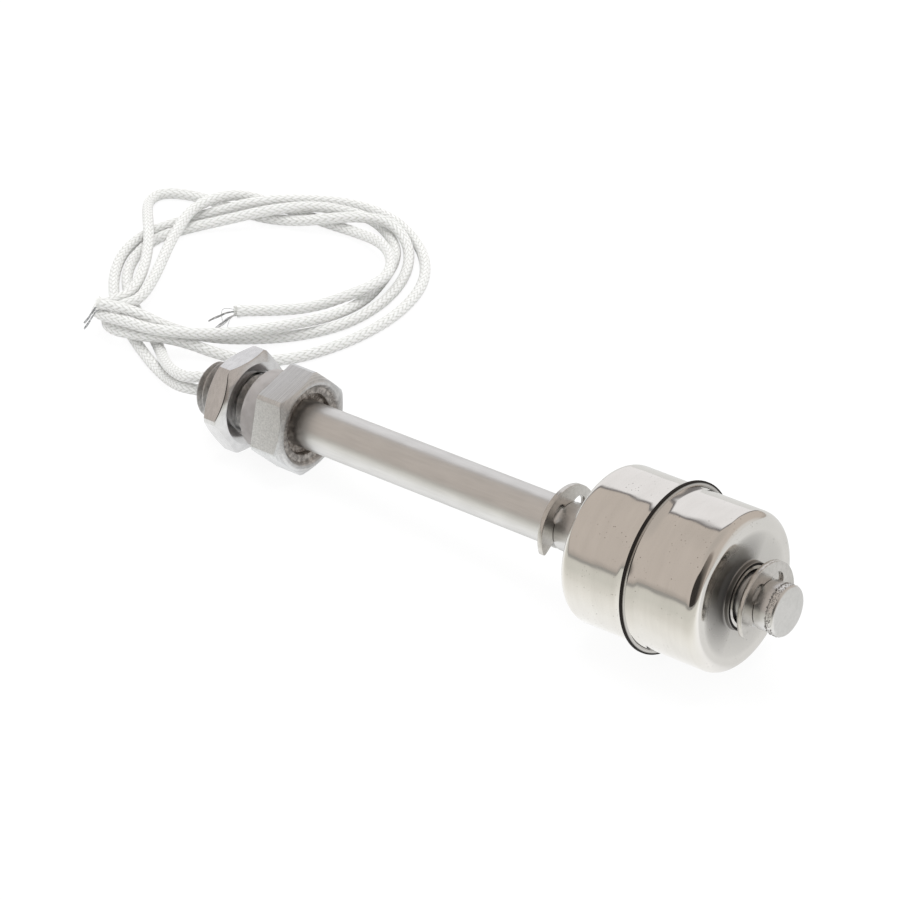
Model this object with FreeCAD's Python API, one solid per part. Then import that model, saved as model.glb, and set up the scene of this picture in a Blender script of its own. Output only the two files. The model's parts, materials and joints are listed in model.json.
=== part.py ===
import FreeCAD, Part
import math
import os

from FreeCAD import Placement, Rotation, Vector

# Liquid level sensor: a float with a magnet slides on a closed stem that holds a reed switch.
# Millimetres. Every piece is built along the stem, which is the local X axis: zero is the sealing face
# of the hexagonal head, and positive runs to the tip. One placement then lays the sensor on the floor.

# Head
HEX_ACROSS_FLATS = 15.8
HEX_CORNER_TRIM = 0.44
HEX_THICKNESS = 6.0
HEX_CHAMFER_SETBACK = 0.5
HEX_TURN = 43.0
DISH_RIM = 0.4
DISH_DEPTH = 0.7
DISH_SLOPE = 0.6
STEM_RELIEF_GAP = 1.2
STEM_RELIEF_DEPTH = 1.2
STEM_SOCKET_FLOOR = 1.5
THREAD_DIAMETER = 9.9
THREAD_LENGTH = 16.0
THREAD_END_CHAMFER = 0.8

# Sealing washer and lock nut
WASHER_DIAMETER = 13.6
WASHER_THICKNESS = 4.0
WASHER_EDGE_CHAMFER = 0.4
NUT_ACROSS_FLATS = 15.8
NUT_CORNER_TRIM = 0.44
NUT_THICKNESS = 4.5
NUT_CHAMFER_SETBACK = 0.8
NUT_TURN = 30.0
NUT_COUNTERSINK = 0.6
NUT_GAP_TO_WASHER = 2.5
THREAD_CLEARANCE = 0.1
CHAMFER_ANGLE = 30.0

# Stem and its tip
STEM_DIAMETER = 8.0
STEM_WALL = 1.0
STEM_REACH = 101.6
STEM_FIT = 0.03
CAP_OVERHANG = 0.15
CAP_THICKNESS = 1.7
CAP_DOME = 0.35
CAP_EDGE_RADIUS = 0.35
CAP_PLUG_LENGTH = 2.5

# Retaining clips
CLIP_DIAMETER = 13.6
CLIP_THICKNESS = 0.9
CLIP_GROOVE_DEPTH = 0.5
CLIP_GROOVE_PLAY = 0.05
CLIP_GRIP = 0.2
CLIP_MOUTH_FLARE = 51.0
CLIP_TIP_RADIUS = 0.5
CLIP_POCKET_RADIUS = 1.7
CLIP_POCKET_ANGLE = 40.0
UPPER_CLIP_TURN = -8.0
LOWER_CLIP_TURN = -2.0
CLIP_FIT = 0.03
LOWER_CLIP_SETBACK = 4.1

# Float
FLOAT_DIAMETER = 26.0
FLOAT_LENGTH = 28.0
FLOAT_NECK_LENGTH = 1.0
FLOAT_EDGE_RADIUS = 2.2
FLOAT_WALL = 0.45
BEAD_HEIGHT = 1.0
BEAD_WIDTH = 1.1
FLOAT_BORE_GAP = 0.55
BORE_TUBE_WALL = 0.5
BORE_TUBE_FIT = 0.03
FLOAT_GAP_DOWN = 2.4
FLOAT_GAP_UP = 6.8

# Magnet in the float
MAGNET_DIAMETER = 18.0
MAGNET_LENGTH = 6.0
HOLDER_WALL = 0.8
HOLDER_FLANGE = 1.0
HOLDER_FIT = 0.03

# Reed switch in the stem
REED_DIAMETER = 2.0
REED_LENGTH = 14.0
REED_WALL = 0.3
REED_SEAL_LENGTH = 2.0
BLADE_WIDTH = 0.9
BLADE_THICKNESS = 0.2
BLADE_OVERLAP = 1.6
CONTACT_GAP = 0.15
LEG_DIAMETER = 0.5
LEG_LENGTH = 5.0
SLEEVE_WALL = 0.35
SLEEVE_OVERHANG = 2.0
SLEEVE_FIT = 0.1
SPLICE_DIAMETER = 1.2
SPLICE_LENGTH = 3.0
SPLICE_FIT = 0.03
REED_WALL_GAP = 0.3

# Leads
LEAD_DIAMETER = 2.0
LEAD_STRIP = 0.8
LEAD_WALL_GAP = 0.45
CONDUCTOR_DIAMETER = 0.7
ARC_SHARE = 0.45
POTTING_DEPTH = 6.5
POTTING_SETBACK = 0.5
POTTING_FIT = 0.03
LEAD_EXIT_RUN = 3.0
STRAND_BUNDLE_DIAMETER = 0.9

# Routes of the leads on the floor, from the floor point under the mouth of the threaded spigot
LEAD_A_ROUTE = [
    (-5.4, -0.6, 7.5), (-10, 1.2, 5.7), (-16.2, 5.1, 3.4), (-22.5, 10.5, 1.1), (-26, 12.5, 1.1),
]
LEAD_B_ROUTE = [
    (-6.5, -0.5, 5), (-12.5, 2.5, 2.3), (-19, 5.5, 1.1), (-25.5, 8.5, 1.1), (-32, 12, 1.1),
]
LEAD_A_TAIL_ROUTE = [
    (-19.8, 15, 2.9), (-22.6, 11.8, 5), (-26.1, 10.2, 6.6), (-30.5, 9.1, 7), (-33.5, 8.1, 6.9),
]
LEAD_B_TAIL_ROUTE = [
    (-4.5, 46, 4), (-6, 41.5, 3.6), (-10, 37.5, 1.6), (-14.5, 33, 1.1), (-20, 28, 1.1),
]
LEAD_A_STRANDS_ROUTE = [(-33.5, 8.1, 6.9), (-35.1, 7.6, 6.2), (-36.6, 7.1, 3.9), (-37.4, 6.8, 0.8)]
LEAD_B_STRANDS_ROUTE = [(-20, 28, 1.1), (-21, 25.8, 0.9), (-21.9, 23.6, 0.8), (-22.3, 22.3, 0.6)]
COIL_OUTLINE = [
    (-28, 6.2), (-36.5, 9.5), (-46.5, 22.5), (-51.5, 34), (-59.5, 47), (-55.5, 53), (-44, 60), (-33, 67.5),
    (-21, 71), (-8.5, 65.5), (1, 54), (3, 39), (-2, 22), (-14, 14),
]
COIL_OPENING = [
    (-31, 15), (-36.5, 25), (-42.5, 36), (-42, 47), (-33, 56), (-21, 60), (-10, 55), (-6.5, 42), (-10, 27.5),
    (-19, 17),
]
COIL_LIFT = 0.1
COIL_TOP = 5.4

# Sizes that follow from those above
hex_chamfer = HEX_ACROSS_FLATS / 2 - HEX_CHAMFER_SETBACK
nut_chamfer = NUT_ACROSS_FLATS / 2 - NUT_CHAMFER_SETBACK
stem_bore = STEM_DIAMETER - 2 * STEM_WALL
clip_groove = STEM_DIAMETER - 2 * CLIP_GROOVE_DEPTH
float_bore = STEM_DIAMETER + 2 * FLOAT_BORE_GAP
bore_tube = float_bore + 2 * BORE_TUBE_WALL
bead = FLOAT_DIAMETER + 2 * BEAD_HEIGHT
sleeve_bore = REED_DIAMETER + 2 * SLEEVE_FIT
sleeve = sleeve_bore + 2 * SLEEVE_WALL
reed_offset = (stem_bore - sleeve) / 2 - REED_WALL_GAP
return_offset = LEAD_WALL_GAP - (stem_bore - LEAD_DIAMETER) / 2

# Stations along the stem
thread_end = -THREAD_LENGTH
washer_back = -WASHER_THICKNESS
nut_front = washer_back - NUT_GAP_TO_WASHER
nut_back = nut_front - NUT_THICKNESS
tip = STEM_REACH
cap_back = tip - CAP_THICKNESS
lower_clip_front = tip - LOWER_CLIP_SETBACK
lower_clip_back = lower_clip_front - CLIP_THICKNESS
float_bottom = lower_clip_back - FLOAT_GAP_DOWN
float_top = float_bottom - FLOAT_LENGTH
float_middle = (float_top + float_bottom) / 2
upper_clip_front = float_top - FLOAT_GAP_UP
upper_clip_back = upper_clip_front - CLIP_THICKNESS
reed_middle = (upper_clip_front + lower_clip_back) / 2
upper_leg_end = reed_middle - REED_LENGTH / 2 - LEG_LENGTH
lower_leg_end = reed_middle + REED_LENGTH / 2 + LEG_LENGTH
upper_splice = upper_leg_end - SPLICE_LENGTH * 2 / 3
lower_splice = lower_leg_end - SPLICE_LENGTH / 3
potting_mouth = thread_end + POTTING_SETBACK
potting_root = potting_mouth + POTTING_DEPTH

AXIS = Vector(1, 0, 0)
ORIGIN = Vector(0, 0, 0)


def rod(diameter, start, end, offset=0.0):
    """Solid cylinder along the stem, offset upwards from its axis."""
    return Part.makeCylinder(diameter / 2, end - start, Vector(start, 0, offset), AXIS)


def pipe(outer, inner, start, end, offset=0.0):
    return rod(outer, start, end, offset).cut(rod(inner, start, end, offset))


def turned(outline):
    """Solid of revolution about the stem axis, from a closed outline of (along, radius) points."""
    points = [Vector(x, 0, r) for x, r in outline]
    face = Part.Face(Part.makePolygon(points + points[:1]))
    return face.revolve(ORIGIN, AXIS, 360)


def turned_edges(edges):
    """Solid of revolution from edges that close an outline in the XZ plane."""
    face = Part.Face(Part.Wire(edges))
    return face.revolve(ORIGIN, AXIS, 360)


def line(a, b):
    return Part.LineSegment(Vector(a[0], 0, a[1]), Vector(b[0], 0, b[1])).toShape()


def corner_arc(centre, radius, start_angle, end_angle):
    """Arc in the XZ plane, angles in degrees from +X towards +Z."""

    def at(angle):
        turn = math.radians(angle)
        return Vector(centre[0] + radius * math.cos(turn), 0, centre[1] + radius * math.sin(turn))

    middle = (start_angle + end_angle) / 2
    return Part.Arc(at(start_angle), at(middle), at(end_angle)).toShape()


def hexagon(across_flats, start, end, turn):
    """Hexagonal prism along the stem. A turn of zero puts a corner straight up."""
    radius = across_flats / math.sqrt(3)
    points = []
    for corner in range(6):
        angle = math.radians(turn + 60 * corner)
        points.append(Vector(start, -radius * math.sin(angle), radius * math.cos(angle)))
    face = Part.Face(Part.makePolygon(points + points[:1]))
    return face.extrude(Vector(end - start, 0, 0))


def corner_radius(across_flats, trim):
    """Radius that a hexagon's corners are turned down to."""
    return across_flats / math.sqrt(3) - trim / 2


def chamfer_depth(radius, chamfer_radius):
    """How far along the stem a face's chamfer has come at a radius."""
    return (radius - chamfer_radius) * math.tan(math.radians(CHAMFER_ANGLE))


def threaded_head():
    corner = corner_radius(HEX_ACROSS_FLATS, HEX_CORNER_TRIM)
    blank = turned([
        (0, 0),
        (0, corner),
        (HEX_THICKNESS - chamfer_depth(corner, hex_chamfer), corner),
        (HEX_THICKNESS, hex_chamfer),
        (HEX_THICKNESS, 0),
    ])
    head = hexagon(HEX_ACROSS_FLATS, 0, HEX_THICKNESS, HEX_TURN).common(blank)
    dish_floor = HEX_THICKNESS - DISH_DEPTH
    dish_radius = hex_chamfer - DISH_RIM
    relief_floor = dish_floor - STEM_RELIEF_DEPTH
    relief = STEM_DIAMETER / 2 + STEM_RELIEF_GAP
    dish = turned([
        (relief_floor, 0),
        (relief_floor, relief),
        (dish_floor, relief),
        (dish_floor, dish_radius - DISH_SLOPE),
        (HEX_THICKNESS, dish_radius),
        (HEX_THICKNESS, 0),
    ])
    radius = THREAD_DIAMETER / 2
    spigot = turned([
        (thread_end, 0),
        (thread_end, radius - THREAD_END_CHAMFER),
        (thread_end + THREAD_END_CHAMFER, radius),
        (0, radius),
        (0, 0),
    ])
    socket = rod(STEM_DIAMETER + 2 * STEM_FIT, STEM_SOCKET_FLOOR, HEX_THICKNESS)
    lead_bore = rod(stem_bore, thread_end, STEM_SOCKET_FLOOR)
    return head.cut(dish).fuse(spigot).cut(socket).cut(lead_bore).removeSplitter()


def sealing_washer():
    bore = THREAD_DIAMETER / 2 + THREAD_CLEARANCE
    outer = WASHER_DIAMETER / 2
    edge = WASHER_EDGE_CHAMFER
    return turned([
        (0, bore),
        (0, outer - edge),
        (-edge, outer),
        (washer_back + edge, outer),
        (washer_back, outer - edge),
        (washer_back, bore),
    ])


def hex_nut():
    corner = corner_radius(NUT_ACROSS_FLATS, NUT_CORNER_TRIM)
    depth = chamfer_depth(corner, nut_chamfer)
    bore = THREAD_DIAMETER / 2 + THREAD_CLEARANCE
    blank = turned([
        (nut_back, bore + NUT_COUNTERSINK),
        (nut_back, nut_chamfer),
        (nut_back + depth, corner),
        (nut_front - depth, corner),
        (nut_front, nut_chamfer),
        (nut_front, bore + NUT_COUNTERSINK),
        (nut_front - NUT_COUNTERSINK, bore),
        (nut_back + NUT_COUNTERSINK, bore),
    ])
    # A flat lies straight down, because the nut is what the head end rests on.
    return hexagon(NUT_ACROSS_FLATS, nut_back, nut_front, NUT_TURN).common(blank)


def stem_tube():
    tube = pipe(STEM_DIAMETER, stem_bore, STEM_SOCKET_FLOOR, cap_back)
    for start in (upper_clip_back, lower_clip_back):
        end = start + CLIP_THICKNESS + CLIP_GROOVE_PLAY
        tube = tube.cut(pipe(2 * STEM_DIAMETER, clip_groove, start - CLIP_GROOVE_PLAY, end))
    return tube


def stem_end_cap():
    radius = STEM_DIAMETER / 2 + CAP_OVERHANG
    flat = tip - CAP_DOME
    rim = radius - CAP_EDGE_RADIUS
    plug = stem_bore / 2 - STEM_FIT
    dome_radius = (rim ** 2 + CAP_DOME ** 2) / (2 * CAP_DOME)
    dome_reach = math.degrees(math.asin(rim / dome_radius))
    dome = corner_arc((tip - dome_radius, 0), dome_radius, dome_reach, 0)
    return turned_edges([
        line((cap_back - CAP_PLUG_LENGTH, 0), (cap_back - CAP_PLUG_LENGTH, plug)),
        line((cap_back - CAP_PLUG_LENGTH, plug), (cap_back, plug)),
        line((cap_back, plug), (cap_back, radius)),
        line((cap_back, radius), (flat - CAP_EDGE_RADIUS, radius)),
        corner_arc((flat - CAP_EDGE_RADIUS, rim), CAP_EDGE_RADIUS, 90, 0),
        dome,
        line((tip, 0), (cap_back - CAP_PLUG_LENGTH, 0)),
    ])


def is_clip_tip(edge, radius):
    """Whether an edge runs along the axis at a corner between the rim and the mouth."""
    a, b = edge.Vertexes[0].Point, edge.Vertexes[-1].Point
    along = abs(a.x - b.x) > CLIP_THICKNESS / 2
    return along and a.z < 0 and math.hypot(a.y, a.z) > radius - CLIP_FIT


def retaining_clip(start, turn):
    """E-shaped clip: three lobes grip the groove, with a pocket between each pair and a flared mouth."""
    radius = CLIP_DIAMETER / 2
    grip = clip_groove / 2 + CLIP_FIT
    opening = clip_groove / 2 - CLIP_GRIP
    throat = -math.sqrt(grip ** 2 - opening ** 2)
    flared = opening + (radius + throat) * math.tan(math.radians(CLIP_MOUTH_FLARE))
    clip = pipe(CLIP_DIAMETER, 2 * grip, start, start + CLIP_THICKNESS)
    mouth = Part.makePolygon([
        Vector(start, -opening, throat),
        Vector(start, opening, throat),
        Vector(start, flared, -radius),
        Vector(start, -flared, -radius),
        Vector(start, -opening, throat),
    ])
    clip = clip.cut(Part.Face(mouth).extrude(AXIS * CLIP_THICKNESS))
    tips = [edge for edge in clip.Edges if is_clip_tip(edge, radius)]
    clip = clip.makeFillet(CLIP_TIP_RADIUS, tips)
    for side in (-1, 1):
        angle = math.radians(CLIP_POCKET_ANGLE) * side
        centre = Vector(start, grip * math.sin(angle), grip * math.cos(angle))
        clip = clip.cut(Part.makeCylinder(CLIP_POCKET_RADIUS, CLIP_THICKNESS, centre, AXIS))
    clip.rotate(ORIGIN, AXIS, turn)
    return clip


def float_shell(end, outward):
    """Drawn cup from the bead to its neck. Outward is +1 towards the tip and -1 towards the head."""
    outer = FLOAT_DIAMETER / 2
    inner = outer - FLOAT_WALL
    rim = bead / 2
    tube = bore_tube / 2 + BORE_TUBE_FIT
    neck = tube + FLOAT_WALL
    bend = FLOAT_EDGE_RADIUS
    flat = end - outward * FLOAT_NECK_LENGTH
    lip = float_middle + outward * BEAD_WIDTH / 2
    bend_middle = flat - outward * bend
    side = 0 if outward > 0 else 180
    wall = outward * FLOAT_WALL
    return turned_edges([
        line((float_middle, inner), (float_middle, rim)),
        line((float_middle, rim), (lip, rim)),
        line((lip, rim), (lip, outer)),
        line((lip, outer), (bend_middle, outer)),
        corner_arc((bend_middle, outer - bend), bend, 90, side),
        line((flat, outer - bend), (flat, neck)),
        line((flat, neck), (end, neck)),
        line((end, neck), (end, tube)),
        line((end, tube), (flat - wall, tube)),
        line((flat - wall, tube), (flat - wall, outer - bend)),
        corner_arc((bend_middle, outer - bend), bend - FLOAT_WALL, side, 90),
        line((bend_middle, inner), (float_middle, inner)),
    ])


def float_bore_tube():
    return pipe(bore_tube, float_bore, float_top, float_bottom)


def magnet_holder():
    """Flanged bush on the bore tube: the magnet sits on its flange."""
    bore = bore_tube / 2 + HOLDER_FIT
    magnet_bottom = float_middle + MAGNET_LENGTH / 2
    magnet_top = float_middle - MAGNET_LENGTH / 2
    return turned([
        (magnet_top, bore),
        (magnet_bottom + HOLDER_FLANGE, bore),
        (magnet_bottom + HOLDER_FLANGE, MAGNET_DIAMETER / 2),
        (magnet_bottom, MAGNET_DIAMETER / 2),
        (magnet_bottom, bore + HOLDER_WALL),
        (magnet_top, bore + HOLDER_WALL),
    ])


def ring_magnet():
    bore = bore_tube + 2 * (HOLDER_FIT + HOLDER_WALL + HOLDER_FIT)
    start = float_middle - MAGNET_LENGTH / 2
    return pipe(MAGNET_DIAMETER, bore, start, start + MAGNET_LENGTH)


def reed_capsule():
    """Glass tube sealed round the two legs, hollow where the blades meet."""
    start = reed_middle - REED_LENGTH / 2
    end = reed_middle + REED_LENGTH / 2
    glass = rod(REED_DIAMETER, start, end, reed_offset)
    hollow = rod(
        REED_DIAMETER - 2 * REED_WALL, start + REED_SEAL_LENGTH, end - REED_SEAL_LENGTH, reed_offset
    )
    return glass.cut(hollow).cut(rod(LEG_DIAMETER, start, end, reed_offset))


def reed_blade(outward):
    """Round leg through the glass, pressed flat into a blade that overlaps the other one."""
    lift = outward * (CONTACT_GAP + BLADE_THICKNESS) / 2
    root = reed_middle + outward * (REED_LENGTH / 2 - REED_SEAL_LENGTH)
    leg_end = reed_middle + outward * (REED_LENGTH / 2 + LEG_LENGTH)
    leg_start = root - outward * LEG_DIAMETER
    point = reed_middle - outward * BLADE_OVERLAP / 2
    leg = rod(LEG_DIAMETER, min(leg_start, leg_end), max(leg_start, leg_end), reed_offset)
    corner = Vector(min(point, root), -BLADE_WIDTH / 2, reed_offset + lift - BLADE_THICKNESS / 2)
    blade = Part.makeBox(abs(root - point), BLADE_WIDTH, BLADE_THICKNESS, corner)
    return leg.fuse(blade)


def reed_sleeve():
    reach = REED_LENGTH / 2 + SLEEVE_OVERHANG
    return pipe(sleeve, sleeve_bore, reed_middle - reach, reed_middle + reach, reed_offset)


def splice(start):
    """Crimped ferrule: a leg goes in at one end and a conductor at the other."""
    bore = CONDUCTOR_DIAMETER + 2 * SPLICE_FIT
    return pipe(SPLICE_DIAMETER, bore, start, start + SPLICE_LENGTH, reed_offset)


def inner_lead_a():
    """From the mouth of the spigot to the upper ferrule, with the conductor bared at its end."""
    lead = rod(LEAD_DIAMETER, potting_mouth, upper_splice - LEAD_STRIP, reed_offset)
    conductor_end = upper_splice + SPLICE_LENGTH / 3
    return lead.fuse(rod(CONDUCTOR_DIAMETER, potting_mouth, conductor_end, reed_offset))


def inner_lead_b():
    """Past the reed switch, then back as a bare conductor into the lower ferrule."""
    lead = rod(LEAD_DIAMETER, potting_mouth, lower_splice, return_offset)
    bend_start = lower_splice + SPLICE_LENGTH + LEAD_STRIP
    ferrule_end = lower_splice + SPLICE_LENGTH * 2 / 3
    section = Part.Circle(Vector(bend_start, 0, return_offset), AXIS, CONDUCTOR_DIAMETER / 2)
    bend_centre = Vector(bend_start, 0, (reed_offset + return_offset) / 2)
    bend = Part.Face(Part.Wire(section.toShape())).revolve(bend_centre, Vector(0, -1, 0), 180)
    out = rod(CONDUCTOR_DIAMETER, potting_mouth, bend_start, return_offset)
    back = rod(CONDUCTOR_DIAMETER, ferrule_end, bend_start, reed_offset)
    return lead.fuse([out, bend, back]).removeSplitter()


def potting_plug():
    plug = rod(stem_bore - 2 * POTTING_FIT, potting_mouth, potting_root)
    for offset in (reed_offset, return_offset):
        plug = plug.cut(rod(LEAD_DIAMETER + 2 * POTTING_FIT, potting_mouth, potting_root, offset))
    return plug


def resting_placement(pieces):
    """Lay the sensor on a flat of the nut and the bead of the float, over the middle of its box."""
    flat_edge = chamfer_depth(NUT_ACROSS_FLATS / 2, nut_chamfer)
    support_span = (float_middle - BEAD_WIDTH / 2) - (nut_back + flat_edge)
    tilt = math.atan2((bead - NUT_ACROSS_FLATS) / 2, support_span)
    turn = Rotation(Vector(0, -1, 0), math.degrees(tilt))
    tilted = Part.makeCompound(pieces)
    tilted.Placement = Placement(ORIGIN, turn)
    box = tilted.optimalBoundingBox(True, False)
    return Placement(Vector(-box.Center.x, -box.Center.y, -box.ZMin), turn)


def tube_route(points):
    """Straight runs joined by tangent arcs, each as large as its two runs allow."""
    edges = []
    radii = []
    last = points[0]
    for before, here, after in zip(points, points[1:], points[2:]):
        back = before - here
        ahead = after - here
        turn = math.pi - back.getAngle(ahead)
        trim = ARC_SHARE * min(back.Length, ahead.Length)
        radius = trim / math.tan(turn / 2)
        back.normalize()
        ahead.normalize()
        start = here + back * trim
        end = here + ahead * trim
        inward = back + ahead
        inward.normalize()
        middle = here + inward * (math.hypot(radius, trim) - radius)
        edges.append(Part.LineSegment(last, start).toShape())
        edges.append(Part.Arc(start, middle, end).toShape())
        radii.append(radius)
        last = end
    edges.append(Part.LineSegment(last, points[-1]).toShape())
    return Part.Wire(edges), radii


def lead_tube(name, points, diameter):
    wire, radii = tube_route(points)
    section = Part.Circle(points[0], points[1] - points[0], diameter / 2)
    tube = wire.makePipeShell([Part.Wire(section.toShape())], True, False)
    expected = math.pi * diameter ** 2 / 4 * wire.Length
    print(name, "length", round(wire.Length, 1), "volume ratio", round(tube.Volume / expected, 4))
    print(name, "radii", [round(r, 1) for r in radii])
    return tube


def floor_curve(points):
    """Smooth closed outline on the floor."""
    curve = Part.BSplineCurve()
    curve.interpolate(Points=points, PeriodicFlag=True)
    return Part.Wire(curve.toShape())


def lead_coil(place):
    """Outer shape of the loose loops that both leads lie in."""
    outer = floor_curve([place((x, y, COIL_LIFT)) for x, y in COIL_OUTLINE])
    inner = floor_curve([place((x, y, COIL_LIFT)) for x, y in COIL_OPENING])
    height = Vector(0, 0, COIL_TOP - COIL_LIFT)
    return Part.Face(outer).extrude(height).cut(Part.Face(inner).extrude(height))


def lead_nodes(placement):
    """Both leads on the floor: out of the spigot, into the coil, and out as tails with bare strands."""
    mouth = placement.multVec(Vector(thread_end, 0, 0))

    def place(point):
        return Vector(mouth.x, mouth.y, 0) + Vector(*point)

    def exit_points(offset, route):
        start = placement.multVec(Vector(potting_mouth, 0, offset))
        clear = placement.multVec(Vector(potting_mouth - LEAD_EXIT_RUN, 0, offset))
        return [start, clear] + [place(p) for p in route]

    coil = lead_coil(place)
    tubes = {
        "lead_a": (exit_points(reed_offset, LEAD_A_ROUTE), LEAD_DIAMETER),
        "lead_b": (exit_points(return_offset, LEAD_B_ROUTE), LEAD_DIAMETER),
        "lead_a_tail": ([place(p) for p in LEAD_A_TAIL_ROUTE], LEAD_DIAMETER),
        "lead_b_tail": ([place(p) for p in LEAD_B_TAIL_ROUTE], LEAD_DIAMETER),
        "lead_a_strands": ([place(p) for p in LEAD_A_STRANDS_ROUTE], STRAND_BUNDLE_DIAMETER),
        "lead_b_strands": ([place(p) for p in LEAD_B_STRANDS_ROUTE], STRAND_BUNDLE_DIAMETER),
    }
    nodes = {name: lead_tube(name, points, size).cut(coil) for name, (points, size) in tubes.items()}
    nodes["lead_coil"] = coil
    return nodes


NODES = {
    "threaded_head": threaded_head(),
    "sealing_washer": sealing_washer(),
    "hex_nut": hex_nut(),
    "stem_tube": stem_tube(),
    "stem_end_cap": stem_end_cap(),
    "upper_retaining_clip": retaining_clip(upper_clip_back, UPPER_CLIP_TURN),
    "lower_retaining_clip": retaining_clip(lower_clip_back, LOWER_CLIP_TURN),
    "float_upper_shell": float_shell(float_top, -1),
    "float_lower_shell": float_shell(float_bottom, 1),
    "float_bore_tube": float_bore_tube(),
    "magnet_holder": magnet_holder(),
    "ring_magnet": ring_magnet(),
    "reed_capsule": reed_capsule(),
    "reed_blade_upper": reed_blade(-1),
    "reed_blade_lower": reed_blade(1),
    "reed_sleeve": reed_sleeve(),
    "splice_upper": splice(upper_splice),
    "splice_lower": splice(lower_splice),
    "inner_lead_a": inner_lead_a(),
    "inner_lead_b": inner_lead_b(),
    "potting_plug": potting_plug(),
}

placement = resting_placement(list(NODES.values()))
os.makedirs("parts", exist_ok=True)
for name, shape in NODES.items():
    placed = shape.copy()
    placed.Placement = placement.multiply(shape.Placement)
    placed.exportStep(f"parts/{name}.step")
for name, shape in lead_nodes(placement).items():
    shape.exportStep(f"parts/{name}.step")
print("placement", placement.Base, math.degrees(placement.Rotation.Angle))
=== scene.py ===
"""Liquid level sensor: finishes, thread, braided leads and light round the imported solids."""

from functools import partial
import json
import math

import bmesh
import bpy
from mathutils import Matrix, Vector


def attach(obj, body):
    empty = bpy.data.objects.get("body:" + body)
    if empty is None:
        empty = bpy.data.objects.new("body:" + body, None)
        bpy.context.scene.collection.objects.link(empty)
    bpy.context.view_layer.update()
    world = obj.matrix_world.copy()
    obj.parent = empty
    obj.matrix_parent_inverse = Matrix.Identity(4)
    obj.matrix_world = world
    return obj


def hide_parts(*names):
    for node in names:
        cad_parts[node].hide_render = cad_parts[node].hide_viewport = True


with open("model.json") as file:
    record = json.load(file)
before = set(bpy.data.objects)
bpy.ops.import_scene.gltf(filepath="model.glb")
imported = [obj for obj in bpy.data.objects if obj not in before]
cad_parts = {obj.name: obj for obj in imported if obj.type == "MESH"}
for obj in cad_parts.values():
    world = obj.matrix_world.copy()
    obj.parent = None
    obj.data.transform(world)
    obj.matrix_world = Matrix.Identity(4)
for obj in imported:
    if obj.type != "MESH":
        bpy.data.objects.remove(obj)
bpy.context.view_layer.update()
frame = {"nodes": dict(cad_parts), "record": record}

MM = 0.001
SPIGOT = {mount["name"]: mount for mount in frame["record"]["mounts"]}["bulkhead_thread"]

# The stem's own frame in millimetres: along it from the sealing face, and up from its axis
THREAD_LENGTH = 16.0
MOUTH = Vector(SPIGOT["pos_m"])
TO_TIP = -Vector(SPIGOT["axis"])
STEM_UP = Vector((-TO_TIP.z, 0, TO_TIP.x))
SEAL = MOUTH + TO_TIP * THREAD_LENGTH * MM
STEM_TURN = Matrix((TO_TIP, (0, 1, 0), STEM_UP)).transposed()
STEM = Matrix.Translation(SEAL) @ STEM_TURN.to_4x4() @ Matrix.Scale(MM, 4)

# Camera, in metres and degrees
CAMERA_PLACE = Vector((0.3202, -0.3960, 0.3592))
CAMERA_AZIMUTH = -50.4046
CAMERA_RISE = 33.6873
CAMERA_LENS = 155.8

# Roundings that several pieces share, in millimetres as all sizes of pieces are
FINE_EDGE = 0.08
BROKEN_EDGE = 0.1
SOFT_EDGE = 0.12
WORN_EDGE = 0.2
FILLET = 0.3

# Head, washer and nut
HEX_ACROSS_FLATS = 15.8
HEX_CORNER_RADIUS = 8.9
HEX_THICKNESS = 6.0
HEX_CHAMFER_RADIUS = 7.4
HEX_TURN = 43.0
HEX_CAST_SIDES = (0, 3)
DISH_RADIUS = 7.0
DISH_DEPTH = 0.7
DISH_SLOPE = 0.6
DISH_FILLET = 0.25
DISH_FLOOR = HEX_THICKNESS - DISH_DEPTH
RELIEF_RADIUS = 5.2
RELIEF_DEPTH = 1.2
RELIEF_FLOOR = DISH_FLOOR - RELIEF_DEPTH
SOCKET_FLOOR = 1.5
SOCKET_RADIUS = 4.03
LEAD_BORE_RADIUS = 3.0
THREAD_RADIUS = 4.95
THREAD_PITCH = 1.5
THREAD_DEPTH = 0.86
THREAD_CREST = 0.14
THREAD_ROOT = 0.78
THREAD_END_CHAMFER = 0.8
WASHER_RADIUS = 6.8
WASHER_THICKNESS = 4.0
WASHER_EDGE = 0.45
WASHER_BORE_PLAY = 0.1
NUT_ACROSS_FLATS = 15.8
NUT_CORNER_RADIUS = 8.9
NUT_FRONT = -6.5
NUT_BACK = -11.0
NUT_CHAMFER_RADIUS = 7.1
NUT_TURN = 30.0
NUT_BORE_RADIUS = 5.05
NUT_COUNTERSINK = 0.6
NUT_FRONT_EDGE = 0.15
CHAMFER_SLOPE = math.tan(math.radians(30))

# How much darker the cast skin is coloured, from 0 to 1
THREAD_DARKENING = 0.45
DISH_DARKENING = 0.85
FACE_DARKENING = 0.35
DARKENING_MARGIN = 0.1

# Stem, tip and clips
STEM_RADIUS = 4.0
STEM_BORE_RADIUS = 3.0
STEM_REACH = 101.6
CLIP_GROOVE_RADIUS = 3.5
CLIP_GROOVE_PLAY = 0.05
CLIP_THICKNESS = 0.9
CLIP_EDGE = 0.09
CLIP_BACKS = (58.5, 96.6)
CAP_RADIUS = 4.15
CAP_BACK = 99.9
CAP_DOME = 0.35
CAP_DOME_INSET = 0.25
CAP_DOME_RINGS = 6
CAP_EDGE = 0.5
CAP_PLUG_LENGTH = 2.5
CAP_PLUG_RADIUS = 2.97
WELD_MIDDLE = 100.3
WELD_WIDTH = 1.2
WELD_RADIUS = 4.1
WELD_SPECKS = 640
WELD_SPECK_RADIUS = 0.14

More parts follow.
